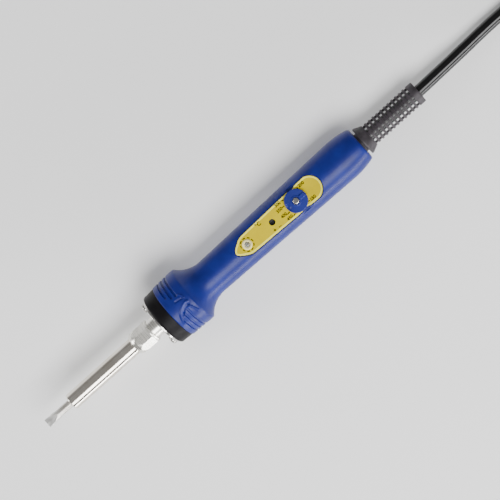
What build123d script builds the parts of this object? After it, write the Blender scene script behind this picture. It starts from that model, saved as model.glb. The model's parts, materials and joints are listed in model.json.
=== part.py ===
from build123d import *
import math
import os

# A mains soldering iron with a temperature dial in its handle, lying on a bench.
# All sizes are millimetres. Every piece is drawn in the tool's frame: X runs along the tool
# from the tip (-X) to the cord (+X), X = 0 is the front face of the handle's front ring,
# and Z points out of the dial panel. One placement then lays the tool down (see "Lying").

# ---- Tip, heater and barrel ----
TIP_END_X = -87.7
TIP_FACET_X = -79.7
TIP_EDGE_HALF_WIDTH = 2.6
TIP_EDGE_HALF_THICKNESS = 0.5
TIP_SHAFT_R = 2.3
TIP_BODY_R = 4.3
TIP_BODY_X = -68.1
TIP_REAR_X = -26.0
HEATER_R = 2.0
HEATER_FRONT_X = -64.2
HEATER_REAR_X = 5.0
HEATER_FIT = 0.05
PIPE_R = 5.0
PIPE_BORE_R = 4.4
PIPE_IN_NUT_R = 4.8
PIPE_IN_NUT_X = -21.2
PIPE_FRONT_X = -69.0
PIPE_LIP = 0.8
PIPE_REAR_X = -12.05
PIPE_FLANGE_R = 5.6
PIPE_FLANGE_T = 1.45
NUT_ACROSS_FLATS = 13.6
NUT_SIDES = 8
NUT_FRONT_X = -20.9
NUT_REAR_X = -7.7
NUT_NOSE = 4.8
NIPPLE_R = 5.9
NIPPLE_BORE_R = 4.3
NIPPLE_SPIGOT_R = 5.2
NIPPLE_THREAD_R = 5.6
NIPPLE_THREAD_X = -11.9
RUNNING_FIT = 0.05
SLIDING_FIT = 0.1

# ---- Flange plate, screws and front ring ----
PLATE_R = 14.6
PLATE_T = 1.2
SCREW_PITCH_R = 11.4
SCREW_R = 1.5
SCREW_HOLE_R = 1.55
SCREW_HEAD_R = 2.75
SCREW_HEAD_H = 2.1
SCREW_END_X = 16.0
WASHER_T = 0.7
RING_LENGTH = 8.0
RING_FRONT_R = 16.2
RING_REAR_R = 16.6
RING_CORNER = 1.5
RING_WALL = 2.6

# ---- Handle ----
HANDLE_FRONT_X = 8.0
HANDLE_REAR_X = 146.6
FLARE_FRONT_R = 17.0
FLARE_REAR_R = 17.4
FLARE_REAR_X = 23.0
WAIST_X = 36.9
WAIST_R = 10.6
WAIST_SWEEP_R = 17.5
SWELL_X = 132.6
SWELL_R = 12.25
TAIL_R = 10.3
FLARE_CAVITY_R = 14.0
CAVITY_R = 8.4
CAVITY_CEILING = 7.3
END_WALL_X = 143.0
BOSS_R = 3.2
BOSS_END_X = 20.0
GROOVE_WIDTH = 1.2
GROOVE_DEPTH = 0.8
# Each ring groove: its place, then where it stops on the +Y and the -Y side of the smooth land
# under the panel's line, as degrees from +Z.
GROOVES = [(11.8, 25, 25), (14.5, 17, 13), (17.2, 15, 11)]

# ---- Panel, dial, lamp and trimmer ----
PANEL_Z = 9.2
PANEL_T = 0.8
PANEL_APEX_X = 55.8
PANEL_RAMP_X = 65.5
PANEL_RAMP_R = 15.7
PANEL_RAMP_RUN = 5.3
PANEL_NOSE_SLOPE = 0.2
PANEL_END_X = 110.0
PANEL_END_R = 7.6
NOTCH_X = 101.8
NOTCH_R = 6.0
NOTCH_Y = 12.3
NOTCH_FLOOR = 8.2
DIAL_X = 100.3
DIAL_R = 6.6
DIAL_BOTTOM = 9.5
DIAL_TOP = 11.4
DIAL_BAR_TOP = 12.2
DIAL_SHAFT_R = 1.5
LOCK_HEAD_R = 1.8
LOCK_SHANK_R = 0.95
LAMP_X = 64.4
LAMP_R = 1.5
BEZEL_R = 2.9
TRIMMER_X = 82.7
TRIMMER_HOLE_R = 1.8
TRIMMER_ROTOR_R = 1.6

# ---- Board ----
BOARD_FRONT_X = 36.0
BOARD_REAR_X = 122.0
BOARD_WIDTH = 14.0
BOARD_T = 1.6
RAIL_T = 1.2

# ---- Cord bushing and cord ----
CORD_D = 7.0
CORD_R = CORD_D / 2
BUSHING_NECK_R = 5.8
BUSHING_FLANGE_X = 148.0
BUSHING_FLANGE_R = 8.6
BUSHING_RIB_R = 6.55
BUSHING_WEB_R = 5.8
BUSHING_BORE_R = 4.9
BUSHING_END_X = 188.7
SLOT_COUNT = 12
SLOT_FIRST_X = 153.4
SLOT_PITCH = 2.72
SLOT_WIDTH = 1.3
WEB_WIDTH = 2.2
WEB_ANGLE = 10
JACKET_END_X = 127.0

# ---- Lying: the flare and the handle's rear swell touch the bench together ----
LIE_TILT = 2.70

# ---- Cord put away: a tied hank in line with the tool, measured on the bench ----
# The hank's places are distances along the bench from the tool's X = 0.
HANK_CENTRE_X = 333.0
HANK_HALF_RUN = 40.0
HANK_END_R = 32.1
HANK_WAIST = 20.2
HANK_HEIGHT = 14.25
HANK_STEP_HEIGHT = 22.0
HANK_HUMP_HEIGHT = 28.5
FLOOR_GAP = 0.05
TIE_WIDTH = 12.0
TIE_T = 1.4
PLUG_Y = -19.0
PLUG_CENTRE_Z = 24.8
PLUG_BOOT_X = 0.0
PLUG_BODY_X = 22.0
PLUG_FACE_X = 50.0
PLUG_BLADE_LENGTH = 17.5
PLUG_BLADE_PITCH = 12.7
PLUG_EARTH_OFFSET = 11.9


# ---- Small helpers ----
def rod(x0, x1, r, y=0, z=0):
    """A cylinder along X."""
    return Pos((x0 + x1) / 2, y, z) * Rot(0, 90, 0) * Cylinder(r, x1 - x0)


def collar(x0, x1, r_out, r_in, y=0, z=0):
    """A tube along X."""
    return rod(x0, x1, r_out, y, z) - rod(x0 - 1, x1 + 1, r_in, y, z)


def post(x, y, z0, z1, r):
    """A cylinder along Z."""
    return Pos(x, y, (z0 + z1) / 2) * Cylinder(r, z1 - z0)


def block(x0, x1, y0, y1, z0, z1):
    """A box between two corners."""
    centre = Pos((x0 + x1) / 2, (y0 + y1) / 2, (z0 + z1) / 2)
    return centre * Box(x1 - x0, y1 - y0, z1 - z0)


def turned(outline):
    """A solid of revolution about X from a closed outline of (x, radius) lines and arcs."""
    return revolve(make_face(Wire(outline)), Axis.X)


def turned_points(*points):
    """A solid of revolution about X from a closed polygon of (x, radius) points."""
    return revolve(make_face(Polyline(*points, close=True)), Axis.X)


def corner_radii(points):
    """The largest smooth radius at each inner point of a route."""
    radii = []
    for before, here, after in zip(points, points[1:], points[2:]):
        run_in = Vector(*here) - Vector(*before)
        run_out = Vector(*after) - Vector(*here)
        half_turn = math.radians(run_in.get_angle(run_out)) / 2
        shorter = min(run_in.length, run_out.length)
        radii.append(0.45 * shorter / math.tan(half_turn))
    return radii


def tube(points, r):
    """A round tube along straight runs joined by tangent arcs."""
    path = FilletPolyline(*points, radius=corner_radii(points))
    section = Plane(origin=path @ 0, z_dir=path % 0) * Circle(r)
    return sweep(section, path=path)


# ---- Working end ----
def soldering_tip():
    """A plated copper tip: a chisel edge, a shaft, and a wider body bored for the heater."""
    shape = turned_points(
        (TIP_END_X, 0),
        (TIP_END_X, TIP_EDGE_HALF_WIDTH),
        (TIP_END_X + 5, TIP_EDGE_HALF_WIDTH),
        (TIP_FACET_X, TIP_SHAFT_R),
        (TIP_BODY_X, TIP_SHAFT_R),
        (TIP_BODY_X, TIP_BODY_R),
        (TIP_REAR_X, TIP_BODY_R),
        (TIP_REAR_X, HEATER_R + HEATER_FIT),
        (HEATER_FRONT_X - 0.3, HEATER_R + HEATER_FIT),
        (HEATER_FRONT_X - 1.2, 0),
    )
    for side in (1, -1):
        wedge = Polyline(
            (TIP_END_X - 1, side * TIP_EDGE_HALF_THICKNESS),
            (TIP_END_X, side * TIP_EDGE_HALF_THICKNESS),
            (TIP_FACET_X, side * TIP_SHAFT_R),
            (TIP_FACET_X, side * 6),
            (TIP_END_X - 1, side * 6),
            close=True,
        )
        shape -= extrude(Plane.XZ * make_face(wedge), amount=6, both=True)
    return shape


def enclosure_pipe():
    """The steel pipe over the tip, with a closing lip in front and a flange for the nut."""
    flange_x = PIPE_REAR_X - PIPE_FLANGE_T
    return turned_points(
        (PIPE_FRONT_X, TIP_SHAFT_R + SLIDING_FIT),
        (PIPE_FRONT_X, PIPE_R - 0.5),
        (PIPE_FRONT_X + 0.5, PIPE_R),
        (PIPE_IN_NUT_X, PIPE_R),
        (PIPE_IN_NUT_X, PIPE_IN_NUT_R),
        (flange_x, PIPE_IN_NUT_R),
        (flange_x, PIPE_FLANGE_R),
        (PIPE_REAR_X, PIPE_FLANGE_R),
        (PIPE_REAR_X, PIPE_BORE_R),
        (PIPE_FRONT_X + PIPE_LIP, PIPE_BORE_R),
        (PIPE_FRONT_X + PIPE_LIP, TIP_SHAFT_R + SLIDING_FIT),
    )


def union_nut():
    """An eight-sided nut with a coned nose that draws the pipe's flange onto the nipple."""
    corner_r = NUT_ACROSS_FLATS / 2 / math.cos(math.pi / NUT_SIDES)
    nose_x = NUT_FRONT_X + NUT_NOSE
    shoulder_x = PIPE_REAR_X - PIPE_FLANGE_T - RUNNING_FIT
    outline = [
        Line((NUT_FRONT_X, 0), (NUT_FRONT_X, 5.5)),
        ThreePointArc((NUT_FRONT_X, 5.5), (NUT_FRONT_X + 1.8, 6.7), (nose_x, corner_r)),
        Line((nose_x, corner_r), (NUT_REAR_X - 0.7, corner_r)),
        Line((NUT_REAR_X - 0.7, corner_r), (NUT_REAR_X, 6.6)),
        Line((NUT_REAR_X, 6.6), (NUT_REAR_X, 0)),
        Line((NUT_REAR_X, 0), (NUT_FRONT_X, 0)),
    ]
    flats = Rot(0, 0, 180 / NUT_SIDES) * RegularPolygon(
        NUT_ACROSS_FLATS / 2, NUT_SIDES, major_radius=False
    )
    prism = extrude(Plane.YZ.offset(NUT_FRONT_X) * flats, amount=NUT_REAR_X - NUT_FRONT_X)
    nut = turned(outline) & prism
    nut -= rod(NUT_FRONT_X - 1, NUT_REAR_X + 1, PIPE_IN_NUT_R + SLIDING_FIT)
    return nut - rod(shoulder_x, NUT_REAR_X + 1, NIPPLE_THREAD_R + RUNNING_FIT)


def nipple():
    """The threaded neck, swaged into the flange plate."""
    return turned_points(
        (NIPPLE_THREAD_X, NIPPLE_BORE_R),
        (NIPPLE_THREAD_X, NIPPLE_THREAD_R - 0.4),
        (NIPPLE_THREAD_X + 0.4, NIPPLE_THREAD_R),
        (NUT_REAR_X + 0.1, NIPPLE_THREAD_R),
        (NUT_REAR_X + 0.1, NIPPLE_R),
        (-PLATE_T, NIPPLE_R),
        (-PLATE_T, NIPPLE_SPIGOT_R),
        (0, NIPPLE_SPIGOT_R),
        (0, 6.3),
        (1.0, 6.3),
        (1.0, NIPPLE_BORE_R),
    )


def earth_contact():
    """A split spring ring in the nipple that earths the barrel."""
    ring = collar(-11.0, -6.0, NIPPLE_BORE_R, NIPPLE_BORE_R - 0.35)
    return ring - block(-12, -5, -0.8, 0.8, -6, 0)


def heater_core():
    """The ceramic heater rod."""
    return rod(HEATER_FRONT_X, HEATER_REAR_X, HEATER_R)


def heater_collar():
    """The ceramic collar that centres the heater in the nipple."""
    return collar(-4.5, 1.0, NIPPLE_BORE_R, HEATER_R)


def heater_leads():
    """Four pins from the back of the heater to the terminal disc."""
    pins = []
    for angle in (45, 135, 225, 315):
        y = 1.2 * math.cos(math.radians(angle))
        z = 1.2 * math.sin(math.radians(angle))
        pins.append(rod(HEATER_REAR_X, 12.0, 0.35, y, z))
    return pins


def terminal_disc():
    """The insulating disc that joins the heater's pins to the wires."""
    disc = rod(9.0, 11.5, 8.0)
    for angle in (45, 135, 225, 315):
        y = 1.2 * math.cos(math.radians(angle))
        z = 1.2 * math.sin(math.radians(angle))
        disc -= rod(8.0, 12.0, 0.35, y, z)
    return disc


# ---- Flange and front ring ----
def flange_plate():
    """The bright round plate that carries the nipple."""
    plate = chamfer(rod(-PLATE_T, 0, PLATE_R).edges().group_by(Axis.X)[0], 0.3)
    plate -= rod(-PLATE_T - 1, 1, NIPPLE_SPIGOT_R)
    for side in (1, -1):
        plate -= rod(-PLATE_T - 1, 1, SCREW_HOLE_R, side * SCREW_PITCH_R)
    return plate


def flange_screws():
    """Two pan-head screws with cross recesses."""
    screws = []
    seat = -PLATE_T - WASHER_T
    for side in (1, -1):
        y = side * SCREW_PITCH_R
        head = rod(seat - SCREW_HEAD_H, seat, SCREW_HEAD_R, y)
        head = fillet(head.edges().group_by(Axis.X)[0], 1.0)
        head -= block(seat - 3, seat - 1.1, y - 1.5, y + 1.5, -0.3, 0.3)
        head -= block(seat - 3, seat - 1.1, y - 0.3, y + 0.3, -1.5, 1.5)
        screws.append(head + rod(seat, SCREW_END_X, SCREW_R, y))
    return screws


def flange_lock_washers():
    """Two split spring washers under the screw heads."""
    washers = []
    for side in (1, -1):
        y = side * SCREW_PITCH_R
        washer = collar(-PLATE_T - WASHER_T, -PLATE_T, 2.7, SCREW_HOLE_R, y)
        washers.append(washer - block(-3, 0, y - 0.3, y + 0.3, 0, 4))
    return washers


def front_ring():
    """The dark ring between the flange plate and the grip."""
    outline = [
        Line((0, 0), (0, RING_FRONT_R - RING_CORNER)),
        RadiusArc((0, RING_FRONT_R - RING_CORNER), (RING_CORNER, RING_FRONT_R), RING_CORNER),
        Line((RING_CORNER, RING_FRONT_R), (RING_LENGTH, RING_REAR_R)),
        Line((RING_LENGTH, RING_REAR_R), (RING_LENGTH, 0)),
        Line((RING_LENGTH, 0), (0, 0)),
    ]
    ring = turned(outline) - rod(RING_WALL, RING_LENGTH + 1, FLARE_CAVITY_R)
    ring -= rod(-1, RING_WALL + 1, 6.6)
    for side in (1, -1):
        ring += rod(RING_WALL, RING_LENGTH, BOSS_R, side * SCREW_PITCH_R)
        ring -= rod(-1, RING_LENGTH + 1, SCREW_HOLE_R, side * SCREW_PITCH_R)
    return ring


# ---- Handle ----
def handle_outline():
    """The handle's outer form: flare, narrow waist, long swell and rounded tail."""
    sweep_start_x = 24.2
    rise = WAIST_SWEEP_R - math.sqrt(WAIST_SWEEP_R**2 - (WAIST_X - sweep_start_x) ** 2)
    sweep_start = (sweep_start_x, WAIST_R + rise)
    outline = [
        Line((HANDLE_FRONT_X, 0), (HANDLE_FRONT_X, FLARE_FRONT_R - 0.3)),
        Line((HANDLE_FRONT_X, FLARE_FRONT_R - 0.3), (HANDLE_FRONT_X + 0.3, FLARE_FRONT_R)),
        Line((HANDLE_FRONT_X + 0.3, FLARE_FRONT_R), (FLARE_REAR_X, FLARE_REAR_R)),
        RadiusArc((FLARE_REAR_X, FLARE_REAR_R), sweep_start, 1.4),
        RadiusArc(sweep_start, (WAIST_X, WAIST_R), -WAIST_SWEEP_R),
        Line((WAIST_X, WAIST_R), (SWELL_X, SWELL_R)),
        ThreePointArc((SWELL_X, SWELL_R), (140.8, 11.55), (HANDLE_REAR_X, TAIL_R)),
        Line((HANDLE_REAR_X, TAIL_R), (HANDLE_REAR_X, 0)),
        Line((HANDLE_REAR_X, 0), (HANDLE_FRONT_X, 0)),
    ]
    return turned(outline)


def panel_profile(drop):
    """The panel's flat and front ramp, seen from the side, lowered by drop."""
    ramp_rise = PANEL_RAMP_R - math.sqrt(PANEL_RAMP_R**2 - PANEL_RAMP_RUN**2)
    level = PANEL_Z - drop
    arc_end = (PANEL_RAMP_X - PANEL_RAMP_RUN, level + ramp_rise)
    tip = (PANEL_APEX_X - 8, arc_end[1] + PANEL_NOSE_SLOPE * (arc_end[0] - PANEL_APEX_X + 8))
    return [
        Line((130, level), (PANEL_RAMP_X, level)),
        RadiusArc((PANEL_RAMP_X, level), arc_end, PANEL_RAMP_R),
        Line(arc_end, tip),
    ]


def above_panel(drop=0.0):
    """Everything above the panel's surface, lowered by drop."""
    edges = panel_profile(drop)
    tip = edges[-1] @ 1
    edges += [Line(tip, (tip.X, 20)), Line((tip.X, 20), (130, 20))]
    edges.append(Line((130, 20), (130, PANEL_Z - drop)))
    return extrude(Plane.XZ * make_face(Wire(edges)), amount=20, both=True)


def panel_plan(margin=0.0):
    """The panel's place seen from above: open in front, with a round rear end."""
    end_r = PANEL_END_R - margin
    front = block(40, PANEL_END_X, -end_r, end_r, 0, 20)
    return front + post(PANEL_END_X, 0, 0, 20, end_r)


def finger_notches():
    """Two scallops beside the dial."""
    notches = []
    for side in (1, -1):
        notches.append(post(NOTCH_X, side * NOTCH_Y, NOTCH_FLOOR, 20, NOTCH_R))
    return notches


def handle_cavity():
    """The space inside the handle, with its ceiling under the panel."""
    space = turned_points(
        (HANDLE_FRONT_X - 1, 0),
        (HANDLE_FRONT_X - 1, FLARE_CAVITY_R),
        (20, FLARE_CAVITY_R),
        (32, CAVITY_R),
        (END_WALL_X, CAVITY_R),
        (END_WALL_X, 0),
    )
    space -= block(50, 126, -20, 20, CAVITY_CEILING, 20)
    for side in (1, -1):
        inner = side * (BOARD_WIDTH / 2 - 0.7)
        for top in (1, -1):
            low = top * (BOARD_T / 2 + 0.05)
            high = low + top * RAIL_T
            y0, y1 = sorted((inner, side * 12))
            z0, z1 = sorted((low, high))
            space -= block(BOARD_FRONT_X - 2, BOARD_REAR_X, y0, y1, z0, z1)
    return space


def groove_cut(x, stop_plus, stop_minus):
    """One ring groove, open all round but for the land between its two stops."""
    face = make_face(
        Polyline(
            (x - GROOVE_WIDTH / 2, 20),
            (x - GROOVE_WIDTH / 2 + 0.2, 17.2 - GROOVE_DEPTH),
            (x + GROOVE_WIDTH / 2 - 0.2, 17.2 - GROOVE_DEPTH),
            (x + GROOVE_WIDTH / 2, 20),
            close=True,
        )
    )
    cut = revolve(face, Axis.X, revolution_arc=360 - stop_plus - stop_minus)
    # The revolve starts at +Y, which is 90 degrees from +Z on the +Y side.
    return Rot(90 + stop_minus, 0, 0) * cut


def handle_shell(plate):
    """The one-piece grip, bored for the works and cut for the panel plate."""
    shell = handle_outline() - handle_cavity()
    for side in (1, -1):
        shell += rod(HANDLE_FRONT_X, BOSS_END_X, BOSS_R, side * SCREW_PITCH_R)
    for x, stop_plus, stop_minus in GROOVES:
        shell -= groove_cut(x, stop_plus, stop_minus)
    shell -= above_panel() & panel_plan()
    shell -= plate
    shell -= finger_notches()
    for side in (1, -1):
        shell -= rod(0, SCREW_END_X + 1, SCREW_HOLE_R, side * SCREW_PITCH_R)
    shell -= rod(END_WALL_X - 1, HANDLE_REAR_X + 1, BUSHING_NECK_R)
    shell -= post(DIAL_X, 0, 0, 12, DIAL_SHAFT_R + RUNNING_FIT)
    shell -= post(TRIMMER_X, 0, 0, 12, TRIMMER_HOLE_R)
    shell -= post(LAMP_X, 0, 0, 12, LAMP_R)
    return shell


def plain_panel_plate():
    """The panel plate before its holes are made."""
    layer = above_panel(PANEL_T) - above_panel()
    return layer & panel_plan(0.15) & handle_outline()


def panel_plate(plain):
    """The plate under the dial, with its holes and the finger notches."""
    plate = plain - finger_notches()
    plate -= post(DIAL_X, 0, 0, 20, DIAL_SHAFT_R + RUNNING_FIT)
    plate -= post(TRIMMER_X, 0, 0, 20, TRIMMER_HOLE_R)
    return plate - post(LAMP_X, 0, 8.9, 20, BEZEL_R) - post(LAMP_X, 0, 0, 20, LAMP_R)


# ---- Dial, lamp and trimmer ----
def dial_knob():
    """The round knob with a raised bar and a scooped index mark."""
    knob = post(DIAL_X, 0, DIAL_BOTTOM, DIAL_TOP, DIAL_R)
    knob = chamfer(knob.edges().group_by(Axis.Z)[-1], 0.35)
    knob += block(DIAL_X, DIAL_X + 6.0, -1.1, 1.1, DIAL_TOP - 0.5, DIAL_BAR_TOP)
    knob += post(DIAL_X, 0, DIAL_TOP - 0.5, DIAL_TOP + 0.4, 2.9)
    knob -= Pos(DIAL_X - 6.4, 0, DIAL_TOP + 2.6) * Sphere(3.6)
    knob -= post(DIAL_X, 0, DIAL_BOTTOM - 1, DIAL_BOTTOM + 1.0, DIAL_SHAFT_R)
    knob -= post(DIAL_X, 0, DIAL_TOP - 0.3, 20, LOCK_HEAD_R + 0.3)
    return knob - post(DIAL_X, 0, 0, 20, LOCK_SHANK_R + RUNNING_FIT)


def dial_lock_screw():
    """The small screw that holds the dial at its setting."""
    screw = post(DIAL_X, 0, DIAL_TOP - 0.2, DIAL_TOP + 0.8, LOCK_HEAD_R)
    screw = fillet(screw.edges().group_by(Axis.Z)[-1], 0.4)
    screw += post(DIAL_X, 0, 7.6, DIAL_TOP - 0.2, LOCK_SHANK_R)
    socket = RegularPolygon(0.65, 6, major_radius=False)
    return screw - Pos(DIAL_X, 0, DIAL_TOP + 0.1) * extrude(socket, amount=2)


def dial_shaft():
    """The potentiometer's shaft, tapped for the lock screw."""
    shaft = post(DIAL_X, 0, 1.6, DIAL_BOTTOM + 1.0, DIAL_SHAFT_R)
    return shaft - post(DIAL_X, 0, 7.2, 12, LOCK_SHANK_R + RUNNING_FIT)


def dial_potentiometer():
    """The square potentiometer under the dial."""
    body = block(DIAL_X - 4.9, DIAL_X + 4.9, -4.9, 4.9, 0.8, 5.4)
    body += post(DIAL_X, 0, 5.4, 6.8, 3.0)
    return body - post(DIAL_X, 0, 1.5, 8, DIAL_SHAFT_R + RUNNING_FIT)


def lamp_led():
    """The pilot LED on the board."""
    led = post(LAMP_X, 0, 0.8, 5.6, 1.45) + Pos(LAMP_X, 0, 5.6) * Sphere(1.45)
    return led + post(LAMP_X, 0, 0.8, 1.6, 1.75)


def lamp_lens():
    """The clear lens that carries the lamp's light through the panel."""
    lens = post(LAMP_X, 0, 7.3, 9.5, LAMP_R)
    return lens + (Pos(LAMP_X, 0, 9.5) * Sphere(LAMP_R) & block(60, 70, -3, 3, 9.0, 10.6))


def lamp_bezel():
    """The pale ring round the lens."""
    bezel = post(LAMP_X, 0, 8.9, 9.75, BEZEL_R) - post(LAMP_X, 0, 8, 11, LAMP_R)
    return chamfer(bezel.edges().group_by(Axis.Z)[-1], 0.2)


def trimmer_body():
    """The calibration trimmer on the board."""
    body = block(TRIMMER_X - 3.2, TRIMMER_X + 3.2, -3.4, 3.4, 0.8, 5.8)
    return body - post(TRIMMER_X, 0, 4.2, 8, TRIMMER_ROTOR_R + RUNNING_FIT)


def trimmer_rotor():
    """The slotted rotor that a screwdriver turns through the panel."""
    rotor = post(TRIMMER_X, 0, 4.3, 6.9, TRIMMER_ROTOR_R)
    return rotor - block(TRIMMER_X - 2, TRIMMER_X + 2, -0.3, 0.3, 6.2, 8)


# ---- Board and wiring ----
def control_board():
    """The circuit board that slides between the handle's rails."""
    half = BOARD_WIDTH / 2
    board = block(BOARD_FRONT_X, BOARD_REAR_X, -half, half, -BOARD_T / 2, BOARD_T / 2)
    for x in (BOARD_FRONT_X + 4, BOARD_REAR_X - 4):
        for y in (-4.5, 4.5):
            board -= post(x, y, -2, 2, 0.6)
    return board


def triac():
    """The power switch with its tab, under the board."""
    body = block(42, 52, -5, 5, -4.9, -1.6)
    return body + block(52, 57, -5, 5, -2.4, -1.6) - post(55, 0, -5, 0, 1.2)


def mains_capacitor():
    """The film capacitor under the board."""
    return fillet(block(60, 73, -3, 3, -6.9, -0.8).edges().filter_by(Axis.Z), 0.8)


def power_resistors():
    """Two power resistors under the board."""
    return [rod(77, 87, 1.5, y, -2.5) + rod(75.5, 88.5, 0.4, y, -2.5) for y in (-3, 3)]


def control_chip():
    """The control chip with its eight legs, under the board."""
    chip = block(92, 101.5, -3.1, 3.1, -4.6, -1.5)
    for x in (93, 95.5, 98, 100.5):
        for y in (-3.7, 3.7):
            chip += block(x - 0.4, x + 0.4, min(y, y * 0.8), max(y, y * 0.8), -3.2, -0.8)
    return chip


def board_terminals():
    """Two solder posts for the mains wires."""
    return [block(116, 119, y - 0.6, y + 0.6, 0.8, 3.2) for y in (-4, 4)]


def mains_wire(side):
    """A mains wire from the cord's end to its solder post."""
    y = side * 4
    start_x = JACKET_END_X - 0.4
    return tube([(start_x, side * 1.6, 0.9), (123.5, side * 2.3, 1.6), (119.4, y, 2.2)], 0.8)


def earth_wire():
    """The earth wire from the cord's end, under the board, to the flange plate."""
    route = [
        (JACKET_END_X - 0.6, 0, -1.8),
        (119, -1.5, -5.2),
        (102, 0.5, -6.3),
        (84, 4.2, -5.6),
        (58, 4.6, -5.4),
        (38, 3.0, -6.2),
        (24, 1.0, -8.8),
        (12.5, 0, -9.4),
        (3.0, 0.6, -9.2),
    ]
    return tube(route, 0.8)


def signal_wires(z):
    """Two thin wires from the terminal disc to the front of the board."""
    wires = []
    for side in (1, -1):
        route = [(12.1, side * 0.85, z * 0.85), (22, side * 2.5, z * 1.8), (36.5, side * 4.6, z * 1.5)]
        wires.append(tube(route, 0.35))
    return wires


# ---- Cord's way out ----
def cord_stopper():
    """The band that keeps the cord from being pulled out of the handle."""
    band = collar(134.5, 138.5, 5.2, CORD_R)
    return band + block(135, 138, -2, 2, 4.8, 7.6)


def cord_bushing():
    """The ladder-shaped strain relief: a tapered flange, slotted ribs and four webs."""
    body = turned_points(
        (140.3, 3.6),
        (140.3, 7.4),
        (END_WALL_X, 7.4),
        (END_WALL_X, BUSHING_NECK_R),
        (BUSHING_FLANGE_X, BUSHING_NECK_R),
        (BUSHING_FLANGE_X, BUSHING_FLANGE_R),
        (BUSHING_FLANGE_X + 0.9, BUSHING_FLANGE_R),
        (152.9, BUSHING_RIB_R + 0.2),
        (BUSHING_END_X, BUSHING_RIB_R),
        (BUSHING_END_X, 3.6),
        (BUSHING_END_X - 2.4, 3.6),
        (BUSHING_END_X - 2.6, BUSHING_BORE_R),
        (152.9, BUSHING_BORE_R),
        (151.0, 3.6),
    )
    web = Box(400, WEB_WIDTH, 2 * BUSHING_WEB_R) + Box(400, 2 * BUSHING_WEB_R, WEB_WIDTH)
    webs = Rot(WEB_ANGLE, 0, 0) * web & rod(150, 190, BUSHING_WEB_R)
    for index in range(SLOT_COUNT):
        x = SLOT_FIRST_X + index * SLOT_PITCH
        body -= collar(x, x + SLOT_WIDTH, 10, BUSHING_BORE_R - 0.2) - webs
    return body


def cord_inner_end():
    """The cord's jacket inside the handle and the bushing."""
    return rod(JACKET_END_X, BUSHING_END_X, CORD_R)


# ---- Cord on the bench, in the bench frame ----
def cord_route(exit_point, datum_x):
    """From the bushing down to the bench and on to the hank."""
    return [
        exit_point,
        (datum_x + 205.0, 0.3, 8.1),
        (datum_x + 222.0, 0.8, 5.6),
        (datum_x + 241.0, 1.5, 3.9),
        (datum_x + 261.6, 1.2, 3.6),
    ]


def cord_hank(centre_x):
    """The outer shape of the folded and tied cord."""
    left = centre_x - HANK_HALF_RUN
    right = centre_x + HANK_HALF_RUN
    outline = [
        Spline((left, -HANK_END_R), (centre_x, -HANK_WAIST), (right, -HANK_END_R),
               tangents=[(1, 0), (1, 0), (1, 0)]),
        RadiusArc((right, -HANK_END_R), (right, HANK_END_R), -HANK_END_R),
        Spline((right, HANK_END_R), (centre_x, HANK_WAIST), (left, HANK_END_R),
               tangents=[(-1, 0), (-1, 0), (-1, 0)]),
        RadiusArc((left, HANK_END_R), (left, -HANK_END_R), -HANK_END_R),
    ]
    plan = make_face(Wire(outline))
    hank = Pos(0, 0, FLOOR_GAP) * extrude(plan, amount=HANK_HEIGHT - FLOOR_GAP)
    raised = Pos(0, 0, 5) * extrude(plan, amount=HANK_HUMP_HEIGHT - 5)
    hank += raised & block(left - 40, left - 12, -20, 20, 0, HANK_HUMP_HEIGHT)
    hank += raised & block(left - 40, left + 5, -30, 30, 0, HANK_STEP_HEIGHT)
    hank += raised & block(centre_x - 24, centre_x + 20, -30, 30, 0, HANK_HEIGHT + TIE_T)
    half = TIE_WIDTH / 2 + 0.3
    return hank - block(centre_x - half, centre_x + half, -30, 30, 0, TIE_T + 0.1)


def hank_tie(centre_x):
    """The strap round the hank's waist."""
    height = HANK_HEIGHT + 2 * TIE_T + 0.2
    outer = Rectangle(2 * HANK_WAIST + 1 + 2 * TIE_T, height)
    inner = Rectangle(2 * HANK_WAIST + 1, height - 2 * TIE_T)
    band = fillet(outer.vertices(), 4) - fillet(inner.vertices(), 2.6)
    middle_z = FLOOR_GAP + height / 2
    plane = Plane(origin=(centre_x, 0, middle_z), x_dir=(0, 1, 0), z_dir=(1, 0, 0))
    return extrude(plane * band, amount=TIE_WIDTH / 2, both=True)


def plug_lead_route(centre_x):
    """From the hank's top layer up to the plug's boot."""
    return [
        (centre_x - 40.0, -24.8, 19.5),
        (centre_x - 26.0, -21.8, 19.3),
        (centre_x - 12.0, -20.0, 22.8),
        (centre_x + PLUG_BOOT_X, PLUG_Y, PLUG_CENTRE_Z),
    ]


def plug_body(centre_x):
    """A moulded plug lying on its side on the hank, with a ribbed boot."""
    face_x = centre_x + PLUG_FACE_X
    back_x = centre_x + PLUG_BODY_X
    boot_x = centre_x + PLUG_BOOT_X
    body = block(back_x, face_x, -12.5, 12.5, -10.5, 10.5)
    body = fillet(body.edges().filter_by(Axis.X), 4.0)
    body = chamfer(body.edges().group_by(Axis.X)[0], 2.0)
    body += turned_points(
        (boot_x, CORD_R + 0.05), (boot_x, 4.6), (back_x + 1, 6.6), (back_x + 1, CORD_R + 0.05)
    )
    for index in range(5):
        x = boot_x + 3.0 + 3.6 * index
        r = 4.6 + 2.0 * (x - boot_x) / (PLUG_BODY_X + 1)
        body -= collar(x, x + 1.4, 9, r - 0.7)
    return Pos(0, PLUG_Y, PLUG_CENTRE_Z) * body


def plug_blades(centre_x):
    """Two flat blades."""
    x0 = centre_x + PLUG_FACE_X
    blades = []
    for side in (1, -1):
        z = PLUG_CENTRE_Z + side * PLUG_BLADE_PITCH / 2
        y = PLUG_Y - 4.0
        blade = block(x0, x0 + PLUG_BLADE_LENGTH, y - 3.15, y + 3.15, z - 0.75, z + 0.75)
        blade = chamfer(blade.edges().group_by(Axis.X)[-1].filter_by(Axis.Y), 0.5)
        blades.append(blade - post(x0 + PLUG_BLADE_LENGTH - 4.5, y, z - 2, z + 2, 1.5))
    return blades


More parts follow.
